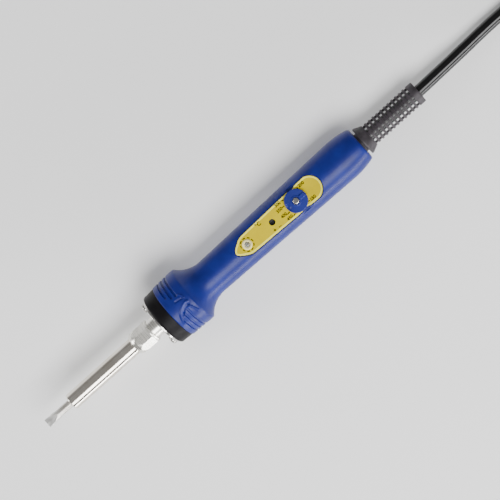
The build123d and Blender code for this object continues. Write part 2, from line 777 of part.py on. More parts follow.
def plug_earth_pin(centre_x):
    """The round earth pin."""
    x0 = centre_x + PLUG_FACE_X
    y = PLUG_Y - 4.0 + PLUG_EARTH_OFFSET
    pin = rod(x0, x0 + PLUG_BLADE_LENGTH + 2.5, 2.4, y, PLUG_CENTRE_Z)
    return fillet(pin.edges().group_by(Axis.X)[-1], 1.6)


# ---- Assembly ----
def tool_pieces():
    """Every piece of the tool itself, in the tool's frame."""
    plain_plate = plain_panel_plate()
    return {
        "soldering_tip": soldering_tip(),
        "enclosure_pipe": enclosure_pipe(),
        "union_nut": union_nut(),
        "nipple": nipple(),
        "earth_contact": earth_contact(),
        "heater_core": heater_core(),
        "heater_collar": heater_collar(),
        "heater_leads": heater_leads(),
        "terminal_disc": terminal_disc(),
        "flange_plate": flange_plate(),
        "flange_screws": flange_screws(),
        "flange_lock_washers": flange_lock_washers(),
        "front_ring": front_ring(),
        "handle_shell": handle_shell(plain_plate),
        "panel_plate": panel_plate(plain_plate),
        "dial_knob": dial_knob(),
        "dial_lock_screw": dial_lock_screw(),
        "dial_shaft": dial_shaft(),
        "dial_potentiometer": dial_potentiometer(),
        "lamp_led": lamp_led(),
        "lamp_lens": lamp_lens(),
        "lamp_bezel": lamp_bezel(),
        "trimmer_body": trimmer_body(),
        "trimmer_rotor": trimmer_rotor(),
        "control_board": control_board(),
        "triac": triac(),
        "mains_capacitor": mains_capacitor(),
        "power_resistors": power_resistors(),
        "control_chip": control_chip(),
        "board_terminals": board_terminals(),
        "live_wire": mains_wire(1),
        "neutral_wire": mains_wire(-1),
        "earth_wire": earth_wire(),
        "heater_wires": signal_wires(1),
        "sensor_wires": signal_wires(-1),
        "cord_stopper": cord_stopper(),
        "cord_bushing": cord_bushing(),
        "cord_inner_end": cord_inner_end(),
    }


def bench_pieces(exit_point, datum_x):
    """The cord on the bench and the plug, in the bench frame."""
    centre_x = datum_x + HANK_CENTRE_X
    route = cord_route(exit_point, datum_x)
    lead_route = plug_lead_route(centre_x)
    print("cord route", [tuple(round(value, 2) for value in point) for point in route])
    print("cord radii", [round(radius) for radius in corner_radii(route)])
    print("plug lead radii", [round(radius) for radius in corner_radii(lead_route)])
    return {
        "power_cord": tube(route, CORD_R),
        "cord_hank": cord_hank(centre_x),
        "hank_tie": hank_tie(centre_x),
        "plug_lead": tube(lead_route, CORD_R),
        "plug_body": plug_body(centre_x),
        "plug_blades": plug_blades(centre_x),
        "plug_earth_pin": plug_earth_pin(centre_x),
    }


def solids_of(shape):
    """A piece's solids as one flat list."""
    shapes = shape if isinstance(shape, list) else [shape]
    return [solid for one in shapes for solid in one.solids()]


def main():
    pieces = {name: solids_of(shape) for name, shape in tool_pieces().items()}
    tilt = Rot(0, LIE_TILT, 0)
    lying = Compound(children=[tilt * solid for solids in pieces.values() for solid in solids])
    box = lying.bounding_box()
    datum_x = -(box.min.X + box.max.X) / 2
    datum_z = -box.min.Z
    placement = Pos(datum_x, 0, datum_z) * tilt
    print("tool's X = 0 lies at", round(datum_x, 4), round(datum_z, 4))

    placed = {}
    for name, solids in pieces.items():
        placed[name] = [placement * solid for solid in solids]
    exit_point = (placement * Pos(BUSHING_END_X, 0, 0)).position
    for name, shape in bench_pieces((exit_point.X, 0, exit_point.Z), datum_x).items():
        placed[name] = solids_of(shape)

    os.makedirs("parts", exist_ok=True)
    for name, solids in placed.items():
        shape = solids[0] if len(solids) == 1 else Compound(children=solids)
        export_step(shape, f"parts/{name}.step")


main()
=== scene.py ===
import itertools
import json
import math

import bmesh
import bpy
import numpy as np
from mathutils import Matrix, Vector


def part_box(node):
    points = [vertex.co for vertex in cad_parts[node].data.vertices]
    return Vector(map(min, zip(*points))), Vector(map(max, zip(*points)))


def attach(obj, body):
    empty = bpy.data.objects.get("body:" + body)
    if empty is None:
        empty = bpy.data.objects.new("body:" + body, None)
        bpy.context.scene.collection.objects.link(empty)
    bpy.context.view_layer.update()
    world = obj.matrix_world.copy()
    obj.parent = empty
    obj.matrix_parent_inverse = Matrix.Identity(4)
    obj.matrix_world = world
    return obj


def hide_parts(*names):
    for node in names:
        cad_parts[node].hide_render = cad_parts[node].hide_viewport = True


# A mains soldering iron with a temperature dial, lying on a bench, with its cord put away in a
# tied hank. Pieces of the tool are drawn in millimetres in the tool's frame, with X from the tip
# to the cord, X = 0 at the front ring's face, and Z out of the dial panel. Pieces of the cord
# are drawn in metres on the bench.

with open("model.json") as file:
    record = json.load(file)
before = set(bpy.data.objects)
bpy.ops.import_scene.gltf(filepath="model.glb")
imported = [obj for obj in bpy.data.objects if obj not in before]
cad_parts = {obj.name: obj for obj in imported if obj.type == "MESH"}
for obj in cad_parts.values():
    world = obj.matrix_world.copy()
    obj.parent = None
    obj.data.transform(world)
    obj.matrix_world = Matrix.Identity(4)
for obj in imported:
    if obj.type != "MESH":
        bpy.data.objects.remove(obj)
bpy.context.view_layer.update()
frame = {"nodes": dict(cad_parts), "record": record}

MM = 0.001
BARREL_MOUNT_X = -45.0
BARREL = next(mount for mount in frame["record"]["mounts"] if mount["name"] == "barrel")
TOOL_X = -np.array(BARREL["axis"])
TOOL_Y = np.array([0.0, 1.0, 0.0])
TOOL_Z = np.cross(TOOL_X, TOOL_Y)
TOOL_AXES = np.array([TOOL_X, TOOL_Y, TOOL_Z])
TOOL_ORIGIN = np.array(BARREL["pos_m"]) - TOOL_X * BARREL_MOUNT_X * MM


def on_bench(points):
    """Tool-frame millimetres as metres on the bench."""
    return TOOL_ORIGIN + np.asarray(points, float) @ TOOL_AXES * MM


# ---- Camera, floor and light ----
LEAN = math.radians(9.2)
PICTURE_TURN = math.radians(41.84)
PICTURE_CENTRE = (62.5, -3.2, 0.0)
PICTURE_WIDTH = 0.275
CAMERA_DISTANCE = 1.0


def picture_axes():
    """The camera's right, up and backward directions."""
    back = Vector((math.sin(LEAN), 0, math.cos(LEAN)))
    along = Vector(TOOL_X)
    along = (along - back * along.dot(back)).normalized()
    across = back.cross(along)
    right = along * math.cos(PICTURE_TURN) - across * math.sin(PICTURE_TURN)
    up = along * math.sin(PICTURE_TURN) + across * math.cos(PICTURE_TURN)
    return right, up, back


def make_camera():
    data = bpy.data.cameras.new("camera")
    data.lens = data.sensor_width * CAMERA_DISTANCE / PICTURE_WIDTH
    camera = put_in_scene("camera", data)
    right, up, back = picture_axes()
    place = Vector(on_bench(PICTURE_CENTRE)) + back * CAMERA_DISTANCE
    turned_axes = Matrix((right, up, back)).transposed().to_4x4()
    camera.matrix_world = Matrix.Translation(place) @ turned_axes
    bpy.context.scene.camera = camera


def soft_light(name, place, aim, size, power):
    data = bpy.data.lights.new(name, "AREA")
    data.shape = "RECTANGLE"
    data.size, data.size_y = size
    data.energy = power
    light = put_in_scene(name, data)
    light.location = place
    light.rotation_euler = (Vector(aim) - Vector(place)).to_track_quat("-Z", "Y").to_euler()


# How pale the room is from the horizon up, with two dark bands that the polished metal mirrors.
SKY_BANDS = [(0.0, 0.9), (0.22, 0.7), (0.3, 0.06), (0.38, 0.5),
             (0.46, 0.5), (0.52, 0.06), (0.58, 0.42), (1.0, 0.42)]


def light_the_studio():
    """A large softbox above one side, a low strip beyond it and a weak fill, in a pale room."""
    soft_light("softbox", (0.0, -0.85, 1.35), (0, 0, 0), (1.4, 0.8), 38.0)
    soft_light("strip", (0.1, -1.1, 0.16), (0.03, 0, 0.02), (1.3, 0.2), 16.0)
    soft_light("fill", (-0.9, 0.5, 0.5), (0, 0, 0), (0.4, 0.4), 6.0)
    world = bpy.data.worlds.new("studio")
    bpy.context.scene.world = world
    sky = Shading(world, "Background", Strength=0.75)
    upward = sky.node("SeparateXYZ", Vector=sky.node("TexCoord").outputs["Generated"]).outputs["Z"]
    stops = [(place, (grey, grey, grey, 1)) for place, grey in SKY_BANDS]
    sky.feed(sky.shader, Color=sky.ramp(upward, *stops))


# ---- Materials ----
TURNING_MARKS = (1.0, 0.03, 0.03)
DRAWN_MARKS = (0.03, 1.0, 1.0)
TOOL_TILT = math.atan2(TOOL_X[2], TOOL_X[0])
FINE_GRAIN = 2600


def linear(red, green, blue):
    """A screen colour from 0 to 255 as a linear shader colour."""
    parts = [c / 255 for c in (red, green, blue)]
    parts = [c / 12.92 if c <= 0.04045 else ((c + 0.055) / 1.055) ** 2.4 for c in parts]
    return (*parts, 1.0)


class Shading:
    """The nodes of a material or a world, built up in front of its own shader."""

    def __init__(self, owner, shader, **values):
        owner.use_nodes = True
        self.owner = owner
        self.tree = owner.node_tree
        self.shader = self.tree.nodes[shader]
        self.feed(self.shader, **values)

    def feed(self, node, **inputs):
        """Give each named input a value, or a link when that is another node's output."""
        for name, value in inputs.items():
            socket = node.inputs[name.replace("_", " ")]
            if isinstance(value, bpy.types.NodeSocket):
                self.tree.links.new(value, socket)
            else:
                socket.default_value = value

    def node(self, kind, **inputs):
        made = self.tree.nodes.new("ShaderNode" + kind)
        self.feed(made, **inputs)
        return made

    def noise(self, scale, stretch=(1, 1, 1)):
        """Noise over the piece's own coordinates, turned and stretched along the tool's axes."""
        where = self.node("TexCoord").outputs["Object"]
        turned_to_tool = self.node("Mapping", Vector=where, Rotation=(0, TOOL_TILT, 0))
        stretched = self.node("Mapping", Vector=turned_to_tool.outputs["Vector"], Scale=stretch)
        texture = self.node("TexNoise", Vector=stretched.outputs["Vector"], Scale=scale, Detail=4.0)
        return texture.outputs["Fac"]

    def ramp(self, factor, *stops):
        """A colour from a ramp through (position, colour) stops."""
        made = self.node("ValToRGB", Fac=factor)
        elements = made.color_ramp.elements
        elements[0].position, elements[0].color = stops[0]
        elements[1].position, elements[1].color = stops[-1]
        for position, colour in stops[1:-1]:
            elements.new(position).color = colour
        return made.outputs["Color"]

    def clouded(self, factor, dark, light):
        """A colour between two screen colours."""
        return self.ramp(factor, (0.3, linear(*dark)), (0.7, linear(*light)))

    def span(self, factor, low, high, start=0.3, end=0.7):
        """A factor mapped to a range of values."""
        made = self.node("MapRange", Value=factor, From_Min=start, From_Max=end, To_Min=low,
                         To_Max=high)
        return made.outputs["Result"]

    def mix(self, factor, first, second):
        made = self.node("Mix")
        made.data_type = "RGBA"
        self.feed(made, Factor=factor, A=first, B=second)
        return made.outputs["Result"]

    def finish(self, colour, roughness, height, strength, depth):
        """Feed the shader its colour, gloss and bump, and give the material."""
        bump = self.node("Bump", Strength=strength, Distance=depth, Height=height)
        self.feed(self.shader, Base_Color=colour, Roughness=roughness,
                  Normal=bump.outputs["Normal"])
        return self.owner


def surface(name, **sockets):
    return Shading(bpy.data.materials.new(name), "Principled BSDF", **sockets)


def grained(name, dark, light, rough, bump, cloud=120, stretch=(1, 1, 1), depth=0.00004, **sockets):
    """A moulded, turned or cast surface: clouded colour, uneven gloss and a fine grain."""
    made = surface(name, **sockets)
    colour = made.clouded(made.noise(cloud, stretch), dark, light)
    fine = made.noise(FINE_GRAIN, stretch)
    return made.finish(colour, made.span(fine, *rough), fine, bump, depth)


def tip_material():
    """Plated tip: a blotchy tinned wedge in front and a smoother heat-tinted shaft behind."""
    made = surface("tip_plating", Metallic=1.0)
    split = made.node("SeparateXYZ", Vector=made.node("TexCoord").outputs["Object"])
    tinned_from, tinned_to = on_bench([(-84.0, 0, 0), (-74.0, 0, 0)])[:, 0]
    shaft = made.span(split.outputs["X"], 0.0, 1.0, tinned_from, tinned_to)
    blotch = made.noise(420, (0.5, 1, 1))
    tin = made.clouded(blotch, (206, 205, 202), (244, 244, 242))
    plate = made.clouded(made.noise(1900, TURNING_MARKS), (176, 170, 160), (214, 210, 204))
    gloss = made.span(blotch, 0.34, 0.5)
    return made.finish(made.mix(shaft, tin, plate), gloss, blotch, 0.35, 0.0001)


def panel_material():
    """The yellow plate: a pale printed line just inside its edge, on a faintly clouded field."""
    made = surface("panel_yellow", Specular_IOR_Level=0.12)
    edge = made.node("Attribute")
    edge.attribute_name = "edge_mm"
    black, white, border = (0, 0, 0, 1), (1, 1, 1, 1), (0.9, 0.82, 0.1, 1)
    inward = made.span(edge.outputs["Fac"], 0.0, 1.0, 0.0, 2.0)
    line = made.ramp(inward, (0.0, white), (0.5, white), (0.56, black), (1.0, black))
    field = made.ramp(made.noise(150), (0.3, (0.52, 0.4, 0.0, 1)), (0.7, (0.58, 0.46, 0.0, 1)))
    grain = made.noise(3000)
    gloss = made.span(grain, 0.28, 0.42)
    return made.finish(made.mix(line, field, border), gloss, grain, 0.15, 0.00003)


def strap_material():
    """Woven strap: a fine plain weave of crossing threads."""
    made = surface("strap_weave", Sheen_Weight=0.4)
    where = made.node("TexCoord").outputs["Object"]
    weave = made.node("Math")
    weave.operation = "MULTIPLY"
    for socket, direction in zip(weave.inputs, ("X", "DIAGONAL")):
        wave = made.node("TexWave", Vector=where, Scale=420, Distortion=0.6)
        wave.bands_direction = direction
        made.tree.links.new(wave.outputs["Fac"], socket)
    weave = weave.outputs["Value"]
    colour = made.ramp(weave, (0.1, linear(22, 22, 24)), (0.8, linear(70, 70, 74)))
    return made.finish(colour, made.span(weave, 0.95, 0.7, 0.0, 1.0), weave, 0.8, 0.0002)


def floor_material():
    made = surface("floor", Specular_IOR_Level=0.2)
    clouds = made.noise(3.0)
    colour = made.ramp(clouds, (0.3, (0.94, 0.94, 0.94, 1)), (0.7, (0.97, 0.97, 0.97, 1)))
    made.feed(made.shader, Base_Color=colour, Roughness=made.span(clouds, 0.75, 0.85))
    return made.owner


# Slot, darker and lighter screen colour, and what differs from the settings of its kind.
METAL = {"rough": (0.14, 0.26), "bump": 0.12, "Metallic": 1.0, "stretch": TURNING_MARKS}
METALS = [
    ("pipe_steel", (216, 208, 195), (236, 231, 223),
     {"rough": (0.1, 0.2), "bump": 0.03, "cloud": 60}),
    ("nut_plating", (222, 219, 210), (246, 244, 238), {"rough": (0.24, 0.34), "bump": 0.02}),
    ("contact_brass", (150, 112, 50), (200, 160, 84)),
    ("lead_metal", (150, 150, 150), (200, 200, 200)),
    ("plate_steel", (180, 178, 174), (214, 213, 210)),
    ("screw_steel", (150, 148, 144), (205, 203, 200)),
    ("shaft_metal", (170, 170, 170), (205, 205, 205)),
    ("blade_brass", (190, 170, 120), (222, 206, 160), {"stretch": DRAWN_MARKS}),
]
PLASTIC = {"rough": (0.3, 0.44), "bump": 0.25}
PLASTICS = [
    ("ceramic_white", (214, 208, 198), (238, 234, 226), {"rough": (0.6, 0.8)}),
    ("board_green", (14, 70, 34), (26, 102, 50), {"rough": (0.2, 0.35)}),
    ("ring_plastic", (8, 7, 9), (18, 16, 18),
     {"rough": (0.38, 0.55), "Specular_IOR_Level": 0.12}),
    ("handle_plastic", (12, 24, 100), (20, 34, 118), {"Specular_IOR_Level": 0.25}),
    ("dial_plastic", (14, 26, 104), (24, 38, 122), {"Specular_IOR_Level": 0.3}),
    ("pot_case", (30, 70, 130), (44, 92, 160)),
    ("led_epoxy", (214, 206, 186), (244, 240, 226), {"rough": (0.06, 0.14)}),
    ("bezel_plastic", (214, 200, 130), (246, 238, 178)),
    ("trimmer_case", (26, 60, 120), (40, 84, 150)),
    ("chip_black", (20, 20, 22), (38, 38, 40), {"rough": (0.5, 0.7)}),
    ("capacitor_case", (170, 96, 24), (205, 126, 40)),
    ("resistor_body", (150, 120, 84), (186, 156, 118), {"rough": (0.4, 0.6)}),
    ("wire_brown", (84, 46, 24), (112, 66, 38)),
    ("wire_blue", (30, 84, 160), (48, 110, 190)),
    ("wire_green", (70, 140, 30), (120, 170, 40)),
    ("wire_red", (150, 20, 20), (190, 40, 36)),
    ("wire_white", (200, 200, 196), (232, 232, 228)),
    ("tie_nylon", (196, 194, 184), (226, 224, 216)),
    ("bushing_rubber", (38, 35, 38), (62, 57, 62),
     {"rough": (0.4, 0.6), "cloud": 300, "Specular_IOR_Level": 0.3}),
    ("cord_jacket", (5, 5, 6), (12, 12, 13),
     {"rough": (0.12, 0.24), "cloud": 260, "depth": 0.00002, "Specular_IOR_Level": 0.4}),
    ("plug_rubber", (18, 18, 19), (34, 34, 36), {"rough": (0.4, 0.58)}),
    ("lens_clear", (236, 238, 230), (252, 252, 246),
     {"rough": (0.03, 0.08), "bump": 0.03, "Transmission_Weight": 0.92, "IOR": 1.49}),
    ("print_ink", (3, 3, 3), (10, 10, 9),
     {"rough": (0.5, 0.65), "Specular_IOR_Level": 0.1}),
]
MATERIALS = {"tip_plating": tip_material(), "panel_yellow": panel_material(),
             "tie_fabric": strap_material()}
for settings, entries in ((METAL, METALS), (PLASTIC, PLASTICS)):
    for slot_name, dark, light, *changes in entries:
        MATERIALS[slot_name] = grained(slot_name, dark, light, **{**settings, **dict(*changes)})


def put_in_scene(name, data):
    made = bpy.data.objects.new(name, data)
    bpy.context.scene.collection.objects.link(made)
    return made


def mesh_object(name, points, faces, drop_slivers=False):
    """A mesh in bench metres, its coincident points joined and its faces turned outwards."""
    mesh = bpy.data.meshes.new(name)
    mesh.from_pydata([tuple(point) for point in points], [], [tuple(face) for face in faces])
    made = bmesh.new()
    made.from_mesh(mesh)
    bmesh.ops.remove_doubles(made, verts=made.verts, dist=2e-7)
    if drop_slivers:
        bmesh.ops.dissolve_degenerate(made, edges=made.edges, dist=1e-8)
    bmesh.ops.recalc_face_normals(made, faces=made.faces)
    made.to_mesh(mesh)
    made.free()
    return put_in_scene(name, mesh)


def shade(piece, sharp):
    """Smooth shading, apart from edges sharper than an angle in degrees."""
    piece.data.polygons.foreach_set("use_smooth", [True] * len(piece.data.polygons))
    piece.data.set_sharp_from_angle(angle=math.radians(sharp))


def dress(piece, slot, replaced=(), body="handle", sharp=32.0):
    """Give a piece its shading, the material of its slot, and its body."""
    shade(piece, sharp)
    piece.data.materials.clear()
    piece.data.materials.append(MATERIALS[slot])
    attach(piece, body)
    if replaced:
        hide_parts(*replaced)
    return piece


def place_piece(name, points, faces, slot, replaced=(), **options):
    return dress(mesh_object(name, points, faces, drop_slivers=True), slot, replaced, **options)


def rounded(*corners, steps=5):
    """A closed outline. A corner's third number is how far its rounding reaches along each side."""
    outline = []
    for index, corner in enumerate(corners):
        here = np.array(corner[:2], float)
        if len(corner) == 2:
            outline.append(here)
            continue
        before = np.array(corners[index - 1][:2], float) - here
        after = np.array(corners[(index + 1) % len(corners)][:2], float) - here
        start = here + before / np.linalg.norm(before) * corner[2]
        end = here + after / np.linalg.norm(after) * corner[2]
        for t in np.linspace(0, 1, steps):
            outline.append((1 - t) ** 2 * start + 2 * t * (1 - t) * here + t * t * end)
    return outline


def circle(segments):
    """Angles once round."""
    return np.linspace(0, 2 * math.pi, segments, endpoint=False)


def squared(angles, power):
    """A circle's two coordinates, squared off towards a box as the power falls."""
    across, upward = np.cos(angles), np.sin(angles)
    return np.sign(across) * np.abs(across) ** power, np.sign(upward) * np.abs(upward) ** power


def row_at(x, y, z):
    """A row of points across the X axis."""
    return np.stack([np.full(len(y), x), y, z], axis=1)


def ring_faces(rows, columns, ends="joined"):
    """Quads between rows closed on themselves, with the end rows joined, open or capped."""
    faces = []
    for row in range(rows if ends == "joined" else rows - 1):
        a = row * columns
        b = (row + 1) % rows * columns
        for column in range(columns):
            following = (column + 1) % columns
            faces.append((a + column, a + following, b + following, b + column))
    if ends == "capped":
        last = range((rows - 1) * columns, rows * columns)
        faces += [tuple(range(columns)), tuple(reversed(last))]
    return faces


def turned(outline, segments=96):
    """An outline of (x, radius) turned about the tool's axis, as points and faces."""
    outline = np.array(outline, float)
    x = np.repeat(outline[:, 0], segments)
    y = np.outer(outline[:, 1], np.cos(circle(segments))).ravel()
    z = np.outer(outline[:, 1], np.sin(circle(segments))).ravel()
    ends = "joined" if outline[0, 1] > 0 else "open"
    return np.stack([x, y, z], axis=1), ring_faces(len(outline), segments, ends)


def upright(points, x):
    """Points turned about the tool's X axis, stood up along Z at a place on the panel."""
    return np.stack([x - points[:, 2], points[:, 1], points[:, 0]], axis=1)


def turned_piece(name, outline, slot, replaced, segments=96, stood_at=None, **options):
    """A turned piece about the tool's axis, or stood on the panel."""
    points, faces = turned(outline, segments)
    if stood_at is not None:
        points = upright(points, stood_at)
    return place_piece(name, on_bench(points), faces, slot, replaced, **options)


def lofted_piece(name, rows, slot, replaced, **options):
    """A piece through rows of points in the tool's frame, its end rows joined."""
    faces = ring_faces(len(rows), len(rows[0]))
    return place_piece(name, on_bench(np.concatenate(rows)), faces, slot, replaced, **options)


def smooth_step(value):
    value = np.clip(value, 0.0, 1.0)
    return value * value * (3 - 2 * value)


def smooth_minimum(a, b, blend):
    """The lesser of two values with their corner rounded over blend."""
    mix = np.clip(0.5 + 0.5 * (b - a) / blend, 0, 1)
    return b * (1 - mix) + a * mix - blend * mix * (1 - mix)


def combine(piece, tools, sharp, operation="DIFFERENCE"):
    """Apply a boolean with other meshes, which are then removed, and shade the piece again."""
    for tool in tools:
        cut = piece.modifiers.new("cut", "BOOLEAN")
        cut.operation = operation
        cut.solver = "EXACT"
        cut.object = tool
    bpy.context.view_layer.update()
    graph = bpy.context.evaluated_depsgraph_get()
    result = bpy.data.meshes.new_from_object(piece.evaluated_get(graph))
    piece.modifiers.clear()
    piece.data = result
    for tool in tools:
        bpy.data.objects.remove(tool)
    shade(piece, sharp)


def tool_mesh(points, faces):
    """A temporary closed mesh for a boolean, from points in the tool's frame."""
    return mesh_object("cutter", on_bench(points), faces)


def box_cutter(low, high):
    """A box between two corners."""
    corners = list(itertools.product(*zip(low, high)))
    faces = [(0, 1, 3, 2), (4, 6, 7, 5), (0, 4, 5, 1), (2, 3, 7, 6), (0, 2, 6, 4), (1, 5, 7, 3)]
    return tool_mesh(corners, faces)


def post_cutter(x, radius, low, high, segments=50):
    """A cylinder standing on the panel."""
    points, faces = turned([(low, 0), (low, radius), (high, radius), (high, 0)], segments)
    return tool_mesh(upright(points, x), faces)


# ---- Cord ----
CORD_DIAMETER = 0.007
CORD_EXIT = (0.1379, 0.0, 0.00963)
HANK_CENTRE = 0.28241
HANK_HALF_RUN = 0.040
HANK_WAIST = 0.006
STRAP_HALF_WIDTH = 0.006
STRAP_LIFT = 0.0014
STRAP_RUNOUT = 0.016
CROSSING_LIFT = 0.0072
# Shares of the near half turn: a lane change, how much sooner each later turn starts its own, and
# half of the crossing's level top and the slope beside it.
LANE_CHANGE, LANE_LEAD = 0.40, 0.20
CROSSING_TOP, CROSSING_SIDE = 0.03, 0.36
# Radius and height of each turn of the hank, and last the place where the cord leaves it.
LANES = [(0.0212, 0.0036), (0.0286, 0.0036), (0.0286, 0.0107), (0.0212, 0.0107), (0.0248, 0.0178)]
RUN_STEPS = 5
ARC_STEPS = 12


def ease(value):
    """A cosine step from 0 to 1."""
    return (1 - math.cos(math.pi * min(1.0, max(0.0, value)))) / 2


def half_turn_places():
    """(distance along the run, angle round the end loop) from one waist to the other."""
    run = [(HANK_HALF_RUN * step / RUN_STEPS, 0.0) for step in range(RUN_STEPS)]
    arc = [(HANK_HALF_RUN, math.pi * step / ARC_STEPS) for step in range(ARC_STEPS + 1)]
    back = [(distance, math.pi) for distance, angle in reversed(run)]
    return run + arc + back


def hank_point(end, distance, angle, radius, height):
    """A point of a turn at the far end (end = 1) or the near end (end = -1)."""
    pinch = HANK_WAIST * (1 + math.cos(math.pi * distance / HANK_HALF_RUN))
    x = HANK_CENTRE + end * (distance + radius * math.sin(angle))
    y = -end * (radius - pinch) * math.cos(angle)
    clear = ease(1 - (distance - STRAP_HALF_WIDTH) / STRAP_RUNOUT)
    return (x, y, height + STRAP_LIFT * clear)


def hank_route():
    """Four turns, each moving to the next lane over the near end, where all cross the first run."""
    route = []
    places = half_turn_places()
    last = len(places) - 1
    for turn, (radius, height) in enumerate(LANES[:-1]):
        route += [hank_point(1, distance, angle, radius, height) for distance, angle in places]
        next_radius, next_height = LANES[turn + 1]
        stop = last if turn < len(LANES) - 2 else last - RUN_STEPS + 1
        for index in range(1, stop):
            distance, angle = places[index]
            share = index / last
            move = ease((share - LANE_LEAD * (len(LANES) - 2 - turn)) / LANE_CHANGE)
            lift = CROSSING_LIFT * ease(1 - (abs(share - 0.5) - CROSSING_TOP) / CROSSING_SIDE)
            between = radius + (next_radius - radius) * move
            level = height + (next_height - height) * move + lift
            route.append(hank_point(-1, distance, angle, between, level))
    return route


def cord_route():
    """From the bushing down to the bench, into the hank, round it, and up to the plug."""
    into_hank = [(-0.058, 0.0006, 0.0036), (-0.044, -0.0008, 0.0036), (-0.030, -0.0034, 0.0036),
                 (-0.016, -0.0068, 0.0040)]
    to_plug = [(-0.026, -0.0218, 0.0193), (-0.012, -0.0200, 0.0228), (0.0, -0.0190, 0.0248)]
    return [
        CORD_EXIT, (0.15441, 0.0003, 0.0081), (0.17141, 0.0008, 0.0056), (0.19041, 0.0015, 0.0039),
        (0.21101, 0.0012, 0.0036), *((HANK_CENTRE + x, y, z) for x, y, z in into_hank),
        *hank_route(), *((HANK_CENTRE + x, y, z) for x, y, z in to_plug),
    ]


def make_cord(with_pieces):
    route = cord_route()
    curve = bpy.data.curves.new("mains_cord", "CURVE")
    curve.dimensions = "3D"
    curve.bevel_depth = CORD_DIAMETER / 2
    curve.bevel_resolution = 7
    curve.resolution_u = 8
    curve.use_fill_caps = True
    spline = curve.splines.new("NURBS")
    spline.points.add(len(route) - 1)
    for point, place in zip(spline.points, route):
        point.co = (*place, 1.0)
    spline.order_u = 3
    spline.use_endpoint_u = True
    curve.materials.append(MATERIALS["cord_jacket"])
    cord = put_in_scene("mains_cord", curve)
    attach(cord, "handle")
    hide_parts("power_cord", "cord_hank", "plug_lead")


def strap():
    """The woven strap round the hank's waist, with its end lapped over the top."""
    low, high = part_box("hank_tie")
    thickness, inset = 0.0012, 0.0008
    middle_z = (low.z + high.z) / 2
    half_y, half_z = (high.y - low.y) / 2 - inset, (high.z - low.z) / 2 - inset
    turn = np.linspace(0, 2 * math.pi * 1.1, 130)
    lap = np.clip((turn - 2 * math.pi + 0.3) / 0.3, 0, 1) * thickness * 1.1
    # Across the strap, in its half-widths and thicknesses.
    section = [(-1, 0), (-0.97, 0.35), (-0.9, 0.5), (0.9, 0.5), (0.97, 0.35), (1, 0),
               (0.97, -0.35), (0.9, -0.5), (-0.9, -0.5), (-0.97, -0.35)]
    points = []
    for y, z, out in zip(*squared(turn, 2 / 4.5), lap):
        for width, thick in section:
            reach = out + thick * thickness
            x = HANK_CENTRE + width * STRAP_HALF_WIDTH
            points.append((x, y * (half_y + reach), middle_z + z * (half_z + reach)))
    faces = ring_faces(len(turn), len(section), "capped")
    return place_piece("hank_strap", points, faces, "tie_fabric", ["hank_tie"])


PLUG_HALF_Y, PLUG_HALF_Z = 0.0125, 0.0105
BOOT_LENGTH, BOOT_FRONT_R, BOOT_SWELL, BOOT_BORE_R = 0.022, 0.0046, 0.0020, 0.00355
SLOTS, SLOT_START, SLOT_PITCH, SLOT_DEPTH = 5, 0.003, 0.0036, 0.0007
RIB_MARGIN, RIB_PITCH, RIB_DEPTH = 0.008, 0.003, 0.0004
FACE_DEPTH, FACE_RUN = 0.0012, 0.0015


def plug_moulding():
    """The moulded plug on its side: a ribbed boot, a shouldered body with grip ribs, and a face."""
    low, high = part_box("plug_body")
    centre_y, centre_z = (low.y + high.y) / 2, (low.z + high.z) / 2
    body_start = low.x + BOOT_LENGTH
    places = [*np.linspace(low.x, body_start, 56), *np.linspace(body_start, high.x, 64)[1:]]
    angles = circle(72)
    bore_y, bore_z = BOOT_BORE_R * np.cos(angles), BOOT_BORE_R * np.sin(angles)
    rows = [row_at(low.x, centre_y + bore_y, centre_z + bore_z)]
    for x in places:
        along = x - low.x
        boot = BOOT_FRONT_R + BOOT_SWELL * min(1.0, along / BOOT_LENGTH)
        slot_phase = (along - SLOT_START) / SLOT_PITCH
        if 0 <= slot_phase < SLOTS and slot_phase % 1 < 0.39:
            boot -= SLOT_DEPTH
        shoulder = float(smooth_step((x - body_start + 0.002) / 0.008))
        near_face = max(0.0, 1 - (high.x - x) / FACE_RUN)
        inset = FACE_DEPTH * (1 - math.sqrt(max(0.0, 1 - near_face**2)))
        wave = math.sin((x - body_start) / RIB_PITCH * 2 * math.pi)
        on_ribs = body_start + RIB_MARGIN < x < high.x - RIB_MARGIN
        rib = RIB_DEPTH if on_ribs and wave > 0 else 0.0
        y, z = squared(angles, 2 / (2 + 3.2 * shoulder))
        y = y * (boot + (PLUG_HALF_Y - boot) * shoulder - inset - rib)
        z = z * (boot + (PLUG_HALF_Z - boot) * shoulder - inset)
        rows.append(row_at(x, centre_y + y, centre_z + z))
    faces = ring_faces(len(rows), len(angles), "capped")
    return place_piece("plug_moulding", np.concatenate(rows), faces, "plug_rubber",
                       ["plug_body"], sharp=28.0)


# ---- Handle ----
GRIP_FRONT, GRIP_REAR = 8.0, 146.6
FLARE_FRONT_R, FLARE_SURFACE_R, FLARE_REAR = 17.0, 17.2, 25.0
WAIST_X, WAIST_R, SWEEP_R, SWEEP_CENTRE_R = 36.9, 10.6, 17.5, 28.1
TAIL_X, TAIL_R, TAIL_EDGE_X = 132.6, 12.25, 145.6
SWELL, SWELL_RUN = 1.65, 95.7
PANEL_LEVEL = 9.2
PANEL_RAMP = 65.5
PANEL_RAMP_R = 15.7
PANEL_RAMP_RUN = 5.3
PANEL_NOSE_SLOPE = 0.2
PANEL_APEX = 56.1
PANEL_END = 110.0
PANEL_END_R = 7.6
POCKET_DEPTH = 0.9
POCKET_RIM_R = 0.22
# The finger notches beside the dial: place along and across, radius and floor height.
NOTCH = (101.8, 12.3, 6.0, 8.2)
NOTCH_BLEND = 1.1
DIAL_X, LAMP_X, TRIMMER_X = 100.3, 64.4, 82.7


